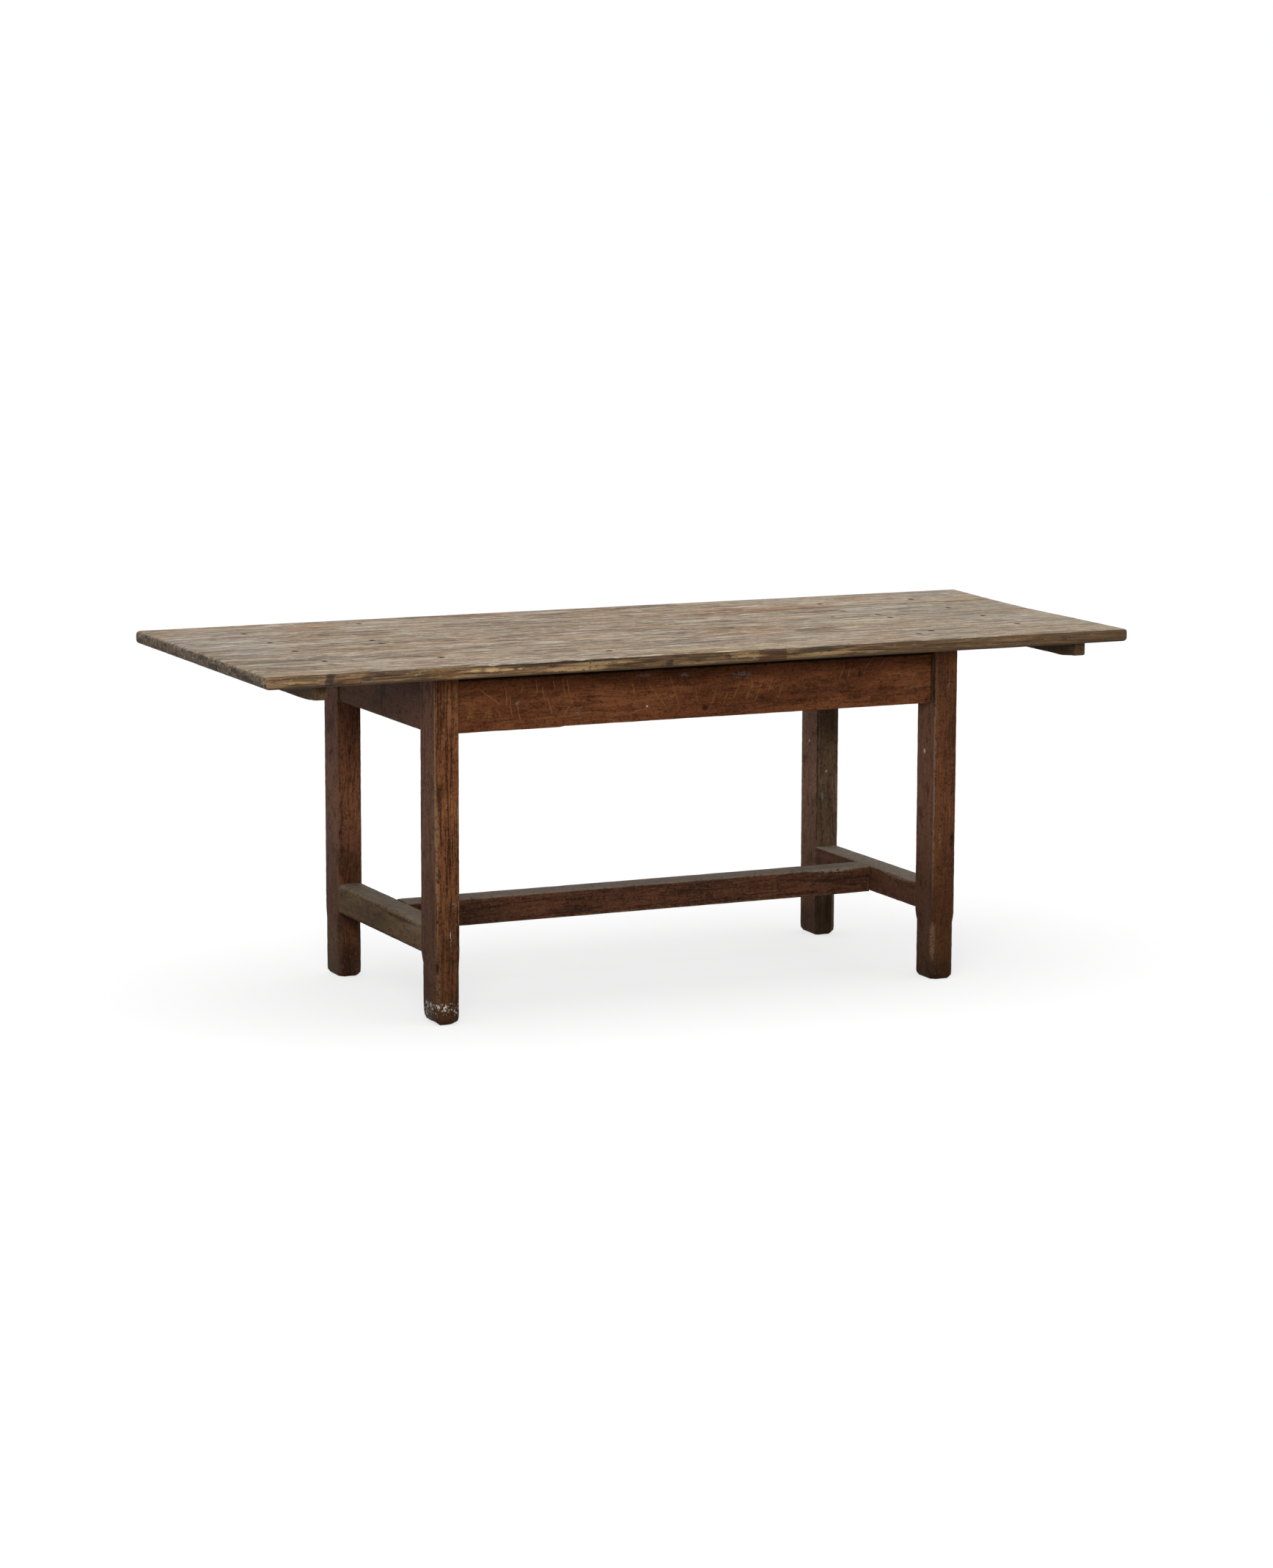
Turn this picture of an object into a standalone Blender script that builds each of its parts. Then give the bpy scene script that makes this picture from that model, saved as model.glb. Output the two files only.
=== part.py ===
"""A farmhouse table: four planks nailed to a pegged frame, with an H stretcher near the floor.

Metres. +X runs along the table to its right end, +Y to its back, +Z up. The origin is on the floor
under the middle of the top.
"""

import math

import bmesh
import bpy
import numpy as np
from mathutils import Matrix, Vector

# Gap between wood faces that meet, and around whatever sits in a hole.
JOINT_GAP = 0.0003
FIT_GAP = 0.0003
# How far a cutter runs past the face that it opens.
OVERRUN = 0.004

# Top: planks side by side along the table, sawn unevenly at the right end.
TOP_HEIGHT = 0.765
TOP_LENGTH = 2.0323
TOP_WIDTH = 0.795
TOP_THICKNESS = 0.026
# Where the planks' edges lie across the table, from its front edge to its back one.
board_edge_shares = (0.0, 0.25, 0.513, 0.75, 1.0)
BOARD_EDGE_ROUND = 0.006
TOP_CORNER_RADIUS = 0.007
RIGHT_END_TRIM = 0.029
# How much of that trim each place across the right end loses, from the front edge to the back.
right_end_place_shares = (0.0, 0.25, 0.5, 0.75, 1.0)
right_end_trim_shares = (0.79, 0.83, 1.0, 0.66, 0.10)

# Frame: four posts, rails under the planks.
FRAME_LENGTH = 1.231
FRAME_WIDTH = 0.6215
LEG_WIDTH = 0.0550
LEG_DEPTH = 0.0772
LEG_OUTER_CHAMFER = 0.0025
LEG_INNER_CHAMFER = 0.0015
LEG_LOW_CHAMFER = 0.011
CHAMFER_STOP_BOTTOM = 0.118
CHAMFER_STOP_TOP = 0.146
FOOT_INSET = 0.004
FOOT_ROUND_HEIGHT = 0.010
WORN_FOOT_INSET = 0.010
WORN_FOOT_ROUND_HEIGHT = 0.036

RAIL_HEIGHT = 0.127
RAIL_THICKNESS = 0.024
LONG_RAIL_SETBACK = 0.010
END_RAIL_SETBACK = 0.005
RAIL_TENON_HEIGHT = 0.090
RAIL_TENON_THICKNESS = 0.010
RAIL_TENON_RISE = 0.012
LONG_RAIL_TENON_LENGTH = 0.035
END_RAIL_TENON_LENGTH = 0.040

# Stretchers: one between the legs of each end, one along the middle.
STRETCHER_TOP = 0.2086
END_STRETCHER_WIDTH = 0.0520
LEFT_STRETCHER_HEIGHT = 0.0625
RIGHT_STRETCHER_HEIGHT = 0.0575
LONG_STRETCHER_WIDTH = 0.056
LONG_STRETCHER_HEIGHT = 0.0592
STRETCHER_TENON_HEIGHT = 0.034
STRETCHER_TENON_RISE = 0.010
END_STRETCHER_TENON_THICKNESS = 0.018
END_STRETCHER_TENON_LENGTH = 0.045
LONG_STRETCHER_TENON_THICKNESS = 0.020
LONG_STRETCHER_TENON_LENGTH = 0.032
# The left one is worn down along its outer upper edge, where feet rested.
STRETCHER_WEAR = 0.010
# How much of that depth is gone at each place along it, from the front to the back.
stretcher_wear_place_shares = (0.0, 0.12, 0.5, 0.71, 0.87, 1.0)
stretcher_wear_depth_shares = (0.05, 0.95, 1.0, 0.9, 0.28, 0.0)

# Pegs through the rail tenons, two to a joint.
PEG_RADIUS = 0.0045
PEG_PROUD = 0.0006
PEG_CROWN = 0.0008
PEG_FROM_SHOULDER = 0.013
LONG_RAIL_PEG_DEPTH = 0.040
END_RAIL_PEG_DEPTH = 0.034
PEG_POINT_LENGTH = 0.004
peg_point_radius_share = 0.7
peg_height_shares = (0.21, 0.79)
PEG_SIDES = 16

# Cleats: battens under the overhanging ends of the top.
CLEAT_FROM_EDGE = 0.0415
CLEAT_WIDTH = 0.026
CLEAT_HEIGHT = 0.038
CLEAT_END_RUN = 0.050
CLEAT_END_RISE = 0.003
CLEAT_CORNER = 0.007
LEFT_CLEAT_FROM_END = 0.1352
RIGHT_CLEAT_FROM_END = 0.1204

# Cleat screws, driven up from below into each plank.
SCREW_HEAD_RADIUS = 0.0045
SCREW_HEAD_HEIGHT = 0.0035
SCREW_RIM_HEIGHT = 0.0004
SCREW_RADIUS = 0.002
SCREW_LENGTH = 0.052
SCREW_POINT_LENGTH = 0.005
SCREW_SINK = 0.001
screw_point_radius_share = 0.3
screw_board_place_shares = (0.16, 0.0, 0.0, -0.16)
SCREW_SIDES = 12

# Nails, whose heads show in the top.
NAIL_HEAD_RADIUS = 0.005
NAIL_HEAD_HEIGHT = 0.0016
NAIL_SHANK_RADIUS = 0.0016
NAIL_LENGTH = 0.055
STUB_NAIL_LENGTH = 0.020
NAIL_POINT_LENGTH = 0.006
NAIL_SINK = 0.0006
nail_point_radius_share = 0.35
NAIL_SIDES = 12
# Two rows across the top near its ends, one nail to a plank, left over from older battens. The shares
# are each nail's place across its plank, from the plank's middle.
LEFT_ROW_FROM_END = 0.1964
RIGHT_ROW_FROM_END = 0.2022
left_row_board_shares = (0.40, 0.20, -0.04, -0.22)
right_row_board_shares = (0.37, 0.10, -0.11, -0.20)
# Nails into the rails stand a little outside the rail's middle.
RAIL_NAIL_OFFSET = 0.008
# Each end rail has one in each middle plank.
left_rail_nail_board_shares = (0.44, -0.28)
right_rail_nail_board_shares = (0.36, -0.36)
front_rail_nail_length_shares = (-0.19, 0.47)


def wood(name, colour, roughness):
    """A plain wood material."""
    material = bpy.data.materials.new(name)
    material.use_nodes = True
    shader = material.node_tree.nodes["Principled BSDF"]
    shader.inputs["Base Color"].default_value = (*colour, 1.0)
    shader.inputs["Roughness"].default_value = roughness
    material.diffuse_color = (*colour, 1.0)
    return material


def iron(name, colour, roughness):
    """Old iron, for nails and screws."""
    material = wood(name, colour, roughness)
    material.node_tree.nodes["Principled BSDF"].inputs["Metallic"].default_value = 1.0
    return material


def add_object(name, shape, material, location=(0.0, 0.0, 0.0), turn=0.0):
    """Makes an object from a bmesh, with its faces pointing out, turned about Z by the angle given."""
    bmesh.ops.recalc_face_normals(shape, faces=shape.faces)
    mesh = bpy.data.meshes.new(name)
    shape.to_mesh(mesh)
    shape.free()
    made = bpy.data.objects.new(name, mesh)
    made.location = location
    made.rotation_euler = (0.0, 0.0, turn)
    bpy.context.scene.collection.objects.link(made)
    if material:
        mesh.materials.append(material)
    return made


def add_loft(shape, rings):
    """Joins rings of points, each with as many points as the next, and closes both ends."""
    loops = [[shape.verts.new(point) for point in ring] for ring in rings]
    count = len(loops[0])
    for near, far in zip(loops, loops[1:]):
        for here in range(count):
            after = (here + 1) % count
            shape.faces.new((near[here], near[after], far[after], far[here]))
    shape.faces.new(loops[0])
    shape.faces.new(loops[-1])


def add_turned(shape, profile, sides, place, outward):
    """Turns a profile of (radius, height) about an axis that leaves the place in the outward direction."""
    to_world = Matrix.Translation(place) @ Vector(outward).to_track_quat("Z", "Y").to_matrix().to_4x4()
    angles = [math.tau * side / sides for side in range(sides)]
    rings = [
        [to_world @ Vector((radius * math.cos(a), radius * math.sin(a), height)) for a in angles]
        for radius, height in profile
    ]
    add_loft(shape, rings)


def add_box(shape, low, high):
    """A box between two corners."""
    low = Vector(low)
    high = Vector(high)
    size = high - low
    placed = Matrix.Translation((low + high) / 2) @ Matrix.Diagonal((*size, 1.0))
    bmesh.ops.create_cube(shape, size=1.0, matrix=placed)


def smooth_round(piece):
    """Shades a turned piece smooth, but for its rims."""
    piece.data.shade_smooth()
    piece.data.set_sharp_from_angle(angle=math.radians(30))


def as_cutter(cutter):
    """Keeps a cutter out of the model."""
    cutter.hide_render = True
    cutter.display_type = "WIRE"
    return cutter


def cut(cutter, pieces):
    """Cuts each piece with the cutter."""
    for piece in pieces:
        opening = piece.modifiers.new(cutter.name, "BOOLEAN")
        opening.operation = "DIFFERENCE"
        opening.solver = "EXACT"
        opening.object = cutter


def hole_profile(profile):
    """The hole for a round piece: wider and deeper by the fit gap, and open at the face.

    The second ring of each profile is the widest one.
    """
    widened = [(radius + FIT_GAP, height - FIT_GAP) for radius, height in profile[1:]]
    mouth = (widened[0][0], profile[0][1] + OVERRUN)
    return [mouth, *widened]


def fasten(names, profile, sides, places, material, pieces):
    """Alike round pieces, each with a name, a place and the outward direction there, and the holes for them."""
    shape = bmesh.new()
    add_turned(shape, profile, sides, (0.0, 0.0, 0.0), (0.0, 0.0, 1.0))
    pattern = add_object(names[0], shape, material)
    smooth_round(pattern)
    holes = bmesh.new()
    for name, (place, outward) in zip(names, places):
        piece = pattern
        if name != names[0]:
            piece = bpy.data.objects.new(name, pattern.data)
            bpy.context.scene.collection.objects.link(piece)
        piece.location = place
        piece.rotation_euler = Vector(outward).to_track_quat("Z", "Y").to_euler()
        add_turned(holes, hole_profile(profile), sides, place, outward)
    cut(as_cutter(add_object(names[0] + "_hole", holes, None)), pieces)


# The planks.
board_edges = [share * TOP_WIDTH - TOP_WIDTH / 2 for share in board_edge_shares]
board_count = len(board_edges) - 1
frame_top = TOP_HEIGHT - TOP_THICKNESS - JOINT_GAP


def board_place(index, share):
    """A place across a plank, counted from the front, as a share of its width from its middle."""
    front = board_edges[index]
    back = board_edges[index + 1]
    return (front + back) / 2 + share * (back - front)


def right_end(across):
    """Where the top ends on the right, at a place across the table."""
    share = across / TOP_WIDTH + 0.5
    return TOP_LENGTH / 2 - RIGHT_END_TRIM * np.interp(share, right_end_place_shares, right_end_trim_shares)


def make_board(index, material):
    """A plank with its outer edges rounded and the table's corners rounded in plan."""
    front = board_edges[index] + JOINT_GAP / 2
    back = board_edges[index + 1] - JOINT_GAP / 2
    left = -TOP_LENGTH / 2
    bottom = TOP_HEIGHT - TOP_THICKNESS
    shape = bmesh.new()
    plan = [(left, front), (right_end(front), front), (right_end(back), back), (left, back)]
    rings = [[(along, across, height) for along, across in plan] for height in (bottom, TOP_HEIGHT)]
    add_loft(shape, rings)
    bmesh.ops.recalc_face_normals(shape, faces=shape.faces)
    seams = board_edges[1:-1]

    def on_seam(vert):
        return any(abs(vert.co.y - seam) < JOINT_GAP for seam in seams)

    corners = [
        edge for edge in shape.edges
        if abs(edge.verts[0].co.z - edge.verts[1].co.z) > JOINT_GAP and not on_seam(edge.verts[0])
    ]
    bmesh.ops.bevel(shape, geom=corners, offset=TOP_CORNER_RADIUS, segments=3, profile=0.5, affect="EDGES")
    shape.normal_update()
    rims = [
        edge for edge in shape.edges
        if abs(edge.verts[0].co.z - edge.verts[1].co.z) < JOINT_GAP
        and not all(on_seam(vert) for vert in edge.verts)
    ]
    bmesh.ops.bevel(shape, geom=rims, offset=BOARD_EDGE_ROUND, segments=2, profile=0.5, affect="EDGES")
    return add_object(f"top_board_{index + 1}", shape, material)


# The legs.
end_side = {"left": -1, "right": 1}
long_side = {"front": -1, "back": 1}
leg_names = [(long, end) for long in long_side for end in end_side]


def leg_ring(long, end, height, inset, outer_chamfer, inner_chamfer):
    """A leg's section: a rectangle with its corners cut off, more at the table's outside than inside."""
    outer_y = long_side[long] * (FRAME_WIDTH / 2 - inset)
    inner_y = long_side[long] * (FRAME_WIDTH / 2 - LEG_DEPTH + inset)
    outer_x = end_side[end] * (FRAME_LENGTH / 2 - inset)
    inner_x = end_side[end] * (FRAME_LENGTH / 2 - LEG_WIDTH + inset)
    to_inside_x = -end_side[end]
    to_inside_y = -long_side[long]
    return [
        (outer_x + to_inside_x * outer_chamfer, outer_y, height),
        (inner_x - to_inside_x * outer_chamfer, outer_y, height),
        (inner_x, outer_y + to_inside_y * outer_chamfer, height),
        (inner_x, inner_y - to_inside_y * inner_chamfer, height),
        (inner_x - to_inside_x * inner_chamfer, inner_y, height),
        (outer_x + to_inside_x * inner_chamfer, inner_y, height),
        (outer_x, inner_y - to_inside_y * inner_chamfer, height),
        (outer_x, outer_y + to_inside_y * outer_chamfer, height),
    ]


def make_leg(long, end, material):
    """A post with narrow chamfers down to the stretcher, wide ones below it, and a worn foot."""
    is_worn = (long, end) == ("front", "left")
    inset = WORN_FOOT_INSET if is_worn else FOOT_INSET
    rounding = WORN_FOOT_ROUND_HEIGHT if is_worn else FOOT_ROUND_HEIGHT
    shape = bmesh.new()
    add_loft(shape, [
        leg_ring(long, end, 0.0, inset, LEG_LOW_CHAMFER, LEG_LOW_CHAMFER),
        leg_ring(long, end, rounding, 0.0, LEG_LOW_CHAMFER, LEG_LOW_CHAMFER),
        leg_ring(long, end, CHAMFER_STOP_BOTTOM, 0.0, LEG_LOW_CHAMFER, LEG_LOW_CHAMFER),
        leg_ring(long, end, CHAMFER_STOP_TOP, 0.0, LEG_OUTER_CHAMFER, LEG_INNER_CHAMFER),
        leg_ring(long, end, frame_top, 0.0, LEG_OUTER_CHAMFER, LEG_INNER_CHAMFER),
    ])
    return add_object(f"leg_{long}_{end}", shape, material)


def make_bar(name, length, width, bottom, top, tenon, material, location, turn, wear=0.0):
    """A bar along its own X with a tenon on each end, worn down along its +Y upper edge if so given.

    The tenon is its length, thickness, lowest and highest point.
    """
    tenon_length, tenon_thickness, tenon_bottom, tenon_top = tenon
    half = length / 2

    def ring(along, breadth, low, high, drop=0.0):
        return [
            (along, -breadth / 2, low),
            (along, breadth / 2, low),
            (along, breadth / 2, high - drop),
            (along, -breadth / 2, high),
        ]

    def tenon_ring(along):
        return ring(along, tenon_thickness, tenon_bottom, tenon_top)

    body = [ring(-half, width, bottom, top), ring(half, width, bottom, top)]
    if wear:
        worn = zip(stretcher_wear_place_shares, stretcher_wear_depth_shares)
        body = [ring(share * length - half, width, bottom, top, depth * wear) for share, depth in worn]
    shape = bmesh.new()
    ends_at = half + tenon_length
    add_loft(shape, [tenon_ring(-ends_at), tenon_ring(-half), *body, tenon_ring(half), tenon_ring(ends_at)])
    return add_object(name, shape, material, location, turn)


# Where the rails and stretchers lie between the legs.
rail_bottom = frame_top - RAIL_HEIGHT
rail_tenon_bottom = rail_bottom + RAIL_TENON_RISE
rail_tenon_top = rail_tenon_bottom + RAIL_TENON_HEIGHT
long_rail_place = FRAME_WIDTH / 2 - LONG_RAIL_SETBACK - RAIL_THICKNESS / 2
end_rail_place = FRAME_LENGTH / 2 - END_RAIL_SETBACK - RAIL_THICKNESS / 2
stretcher_place = FRAME_LENGTH / 2 - LEG_WIDTH / 2
long_clear = FRAME_LENGTH - 2 * LEG_WIDTH
end_clear = FRAME_WIDTH - 2 * LEG_DEPTH
stretcher_heights = {"left": LEFT_STRETCHER_HEIGHT, "right": RIGHT_STRETCHER_HEIGHT}
long_stretcher_bottom = STRETCHER_TOP - LONG_STRETCHER_HEIGHT
stretcher_tenon_bottom = long_stretcher_bottom + STRETCHER_TENON_RISE
stretcher_tenon_top = stretcher_tenon_bottom + STRETCHER_TENON_HEIGHT


def make_long_rail(long, material):
    """A rail under the front or back edge, tenoned into the legs."""
    tenon = (LONG_RAIL_TENON_LENGTH + JOINT_GAP, RAIL_TENON_THICKNESS, rail_tenon_bottom, rail_tenon_top)
    length = long_clear - 2 * JOINT_GAP
    place = (0.0, long_side[long] * long_rail_place, 0.0)
    return make_bar(f"{long}_rail", length, RAIL_THICKNESS, rail_bottom, frame_top, tenon, material, place, 0.0)


def make_end_rail(end, material):
    """A rail between the legs of one end."""
    tenon = (END_RAIL_TENON_LENGTH + JOINT_GAP, RAIL_TENON_THICKNESS, rail_tenon_bottom, rail_tenon_top)
    length = end_clear - 2 * JOINT_GAP
    place = (end_side[end] * end_rail_place, 0.0, 0.0)
    name = f"end_rail_{end}"
    turn = math.radians(90)
    return make_bar(name, length, RAIL_THICKNESS, rail_bottom, frame_top, tenon, material, place, turn)


def make_end_stretcher(end, material):
    """A stretcher low down between the legs of one end; the left one is worn on its outside."""
    tenon = (
        END_STRETCHER_TENON_LENGTH + JOINT_GAP, END_STRETCHER_TENON_THICKNESS,
        stretcher_tenon_bottom, stretcher_tenon_top,
    )
    length = end_clear - 2 * JOINT_GAP
    bottom = STRETCHER_TOP - stretcher_heights[end]
    place = (end_side[end] * stretcher_place, 0.0, 0.0)
    wear = STRETCHER_WEAR if end == "left" else 0.0
    name = f"end_stretcher_{end}"
    turn = math.radians(90)
    return make_bar(
        name, length, END_STRETCHER_WIDTH, bottom, STRETCHER_TOP, tenon, material, place, turn, wear
    )


def make_long_stretcher(material):
    """The stretcher along the middle, tenoned into the end stretchers."""
    tenon = (
        LONG_STRETCHER_TENON_LENGTH + JOINT_GAP, LONG_STRETCHER_TENON_THICKNESS,
        stretcher_tenon_bottom, stretcher_tenon_top,
    )
    length = 2 * stretcher_place - END_STRETCHER_WIDTH - 2 * JOINT_GAP
    return make_bar(
        "long_stretcher", length, LONG_STRETCHER_WIDTH, long_stretcher_bottom, STRETCHER_TOP, tenon, material,
        (0.0, 0.0, 0.0), 0.0,
    )


def leg_mortises(long, end):
    """The three mortises of a leg: long rail, end rail, end stretcher."""
    inner_x = end_side[end] * (FRAME_LENGTH / 2 - LEG_WIDTH)
    inner_y = long_side[long] * (FRAME_WIDTH / 2 - LEG_DEPTH)
    rail_y = long_side[long] * long_rail_place
    rail_x = end_side[end] * end_rail_place
    stretcher_x = end_side[end] * stretcher_place
    half_rail = RAIL_TENON_THICKNESS / 2 + FIT_GAP
    half_stretcher = END_STRETCHER_TENON_THICKNESS / 2 + FIT_GAP
    rail_heights = (rail_tenon_bottom - FIT_GAP, rail_tenon_top + FIT_GAP)
    stretcher_heights_at_leg = (stretcher_tenon_bottom - FIT_GAP, stretcher_tenon_top + FIT_GAP)

    def into_leg(inner, side, tenon_length):
        return inner - side * OVERRUN, inner + side * (tenon_length + FIT_GAP)

    along_long_rail = into_leg(inner_x, end_side[end], LONG_RAIL_TENON_LENGTH)
    along_end_rail = into_leg(inner_y, long_side[long], END_RAIL_TENON_LENGTH)
    along_stretcher = into_leg(inner_y, long_side[long], END_STRETCHER_TENON_LENGTH)
    spans = (
        (along_long_rail, (rail_y - half_rail, rail_y + half_rail), rail_heights),
        ((rail_x - half_rail, rail_x + half_rail), along_end_rail, rail_heights),
        (
            (stretcher_x - half_stretcher, stretcher_x + half_stretcher),
            along_stretcher,
            stretcher_heights_at_leg,
        ),
    )
    shape = bmesh.new()
    for span in spans:
        add_box(shape, [min(limits) for limits in span], [max(limits) for limits in span])
    return as_cutter(add_object(f"leg_{long}_{end}_mortises", shape, None))


def stretcher_mortise(end):
    """The mortise in an end stretcher for the long one."""
    face_x = end_side[end] * (stretcher_place - END_STRETCHER_WIDTH / 2)
    far_x = face_x + end_side[end] * (LONG_STRETCHER_TENON_LENGTH + FIT_GAP)
    mouth_x = face_x - end_side[end] * OVERRUN
    half = LONG_STRETCHER_TENON_THICKNESS / 2 + FIT_GAP
    shape = bmesh.new()
    add_box(
        shape,
        (min(mouth_x, far_x), -half, stretcher_tenon_bottom - FIT_GAP),
        (max(mouth_x, far_x), half, stretcher_tenon_top + FIT_GAP),
    )
    return as_cutter(add_object(f"end_stretcher_{end}_mortise", shape, None))


# The pegs.


def peg_profile(depth):
    """A peg from its crowned head outside the leg to its point."""
    return [
        (PEG_RADIUS - PEG_CROWN, PEG_PROUD),
        (PEG_RADIUS, PEG_PROUD - PEG_CROWN),
        (PEG_RADIUS, PEG_POINT_LENGTH - depth),
        (PEG_RADIUS * peg_point_radius_share, -depth),
    ]


def make_rail_pegs(long, end, material, leg, long_rail, end_rail):
    """The pegs of one leg: two from its front or back face, two from its end face."""
    heights = [rail_tenon_bottom + share * RAIL_TENON_HEIGHT for share in peg_height_shares]
    outer_x = end_side[end] * FRAME_LENGTH / 2
    outer_y = long_side[long] * FRAME_WIDTH / 2
    peg_x = end_side[end] * (FRAME_LENGTH / 2 - LEG_WIDTH + PEG_FROM_SHOULDER)
    peg_y = long_side[long] * (FRAME_WIDTH / 2 - LEG_DEPTH + PEG_FROM_SHOULDER)
    from_long_side = [((peg_x, outer_y, height), (0.0, long_side[long], 0.0)) for height in heights]
    from_end = [((outer_x, peg_y, height), (end_side[end], 0.0, 0.0)) for height in heights]
    kinds = (
        ("long", LONG_RAIL_PEG_DEPTH, from_long_side, long_rail),
        ("end", END_RAIL_PEG_DEPTH, from_end, end_rail),
    )
    for kind, depth, places, rail in kinds:
        names = [f"{kind}_rail_peg_{long}_{end}_{level}" for level in ("lower", "upper")]
        fasten(names, peg_profile(depth), PEG_SIDES, places, material, [leg, rail])


# The cleats and their screws.


def make_cleat(end, place, material):
    """A batten under the planks, its underside easing up towards rounded ends."""
    top = frame_top
    bottom = top - CLEAT_HEIGHT
    half = TOP_WIDTH / 2 - CLEAT_FROM_EDGE
    raised = bottom + CLEAT_END_RISE
    outline = []
    for side in (1, -1):
        corners = [
            (side * half, top),
            (side * half, raised + CLEAT_CORNER),
            (side * (half - CLEAT_CORNER), raised),
            (side * (half - CLEAT_END_RUN), bottom),
        ]
        outline += corners if side == 1 else corners[::-1]
    middle = end_side[end] * place
    rings = [
        [(middle + offset, across, height) for across, height in outline]
        for offset in (-CLEAT_WIDTH / 2, CLEAT_WIDTH / 2)
    ]
    shape = bmesh.new()
    add_loft(shape, rings)
    return add_object(f"cleat_{end}", shape, material)


def screw_profile():
    """A countersunk wood screw, its head sunk a little below the wood."""
    return [
        (SCREW_HEAD_RADIUS, -SCREW_SINK),
        (SCREW_HEAD_RADIUS, -SCREW_SINK - SCREW_RIM_HEIGHT),
        (SCREW_RADIUS, -SCREW_SINK - SCREW_HEAD_HEIGHT),
        (SCREW_RADIUS, SCREW_POINT_LENGTH - SCREW_LENGTH),
        (SCREW_RADIUS * screw_point_radius_share, -SCREW_LENGTH),
    ]


def make_cleat_screws(end, place, material, pieces):
    """Screws up through a cleat, one into each plank."""
    bottom = frame_top - CLEAT_HEIGHT
    places = [
        ((end_side[end] * place, board_place(index, share), bottom), (0.0, 0.0, -1.0))
        for index, share in enumerate(screw_board_place_shares)
    ]
    names = [f"cleat_screw_{end}_{index + 1}" for index in range(board_count)]
    fasten(names, screw_profile(), SCREW_SIDES, places, material, pieces)


# The nails.


def nail_profile(length):
    """A flat-headed nail driven just below the surface."""
    return [
        (NAIL_HEAD_RADIUS, -NAIL_SINK),
        (NAIL_HEAD_RADIUS, -NAIL_SINK - NAIL_HEAD_HEIGHT),
        (NAIL_SHANK_RADIUS, -NAIL_SINK - NAIL_HEAD_HEIGHT),
        (NAIL_SHANK_RADIUS, NAIL_POINT_LENGTH - length),
        (NAIL_SHANK_RADIUS * nail_point_radius_share, -length),
    ]


def make_nails(name, length, spots, material, pieces):
    """Nails down through the planks at spots of (along, across)."""
    places = [((along, across, TOP_HEIGHT), (0.0, 0.0, 1.0)) for along, across in spots]
    names = [f"{name}_{index + 1}" for index in range(len(spots))]
    fasten(names, nail_profile(length), NAIL_SIDES, places, material, pieces)


def row_spots(along, shares):
    """One spot in each plank."""
    return [(along, board_place(index, share)) for index, share in enumerate(shares)]


def rail_nail_spots(end, shares):
    """Spots over an end rail, one in each of the two middle planks."""
    along = end_side[end] * (end_rail_place + RAIL_NAIL_OFFSET)
    first = board_count // 2 - 1
    return [(along, board_place(first + step, share)) for step, share in enumerate(shares)]


def leg_nail_spot(long, end):
    """The solid core of a leg, between the inner faces of its rails' tenons and its own inner faces."""
    tenon_x = end_rail_place - RAIL_TENON_THICKNESS / 2
    tenon_y = long_rail_place - RAIL_TENON_THICKNESS / 2
    core_x = (tenon_x + FRAME_LENGTH / 2 - LEG_WIDTH) / 2
    core_y = (tenon_y + FRAME_WIDTH / 2 - LEG_DEPTH) / 2
    return end_side[end] * core_x, long_side[long] * core_y


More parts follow.
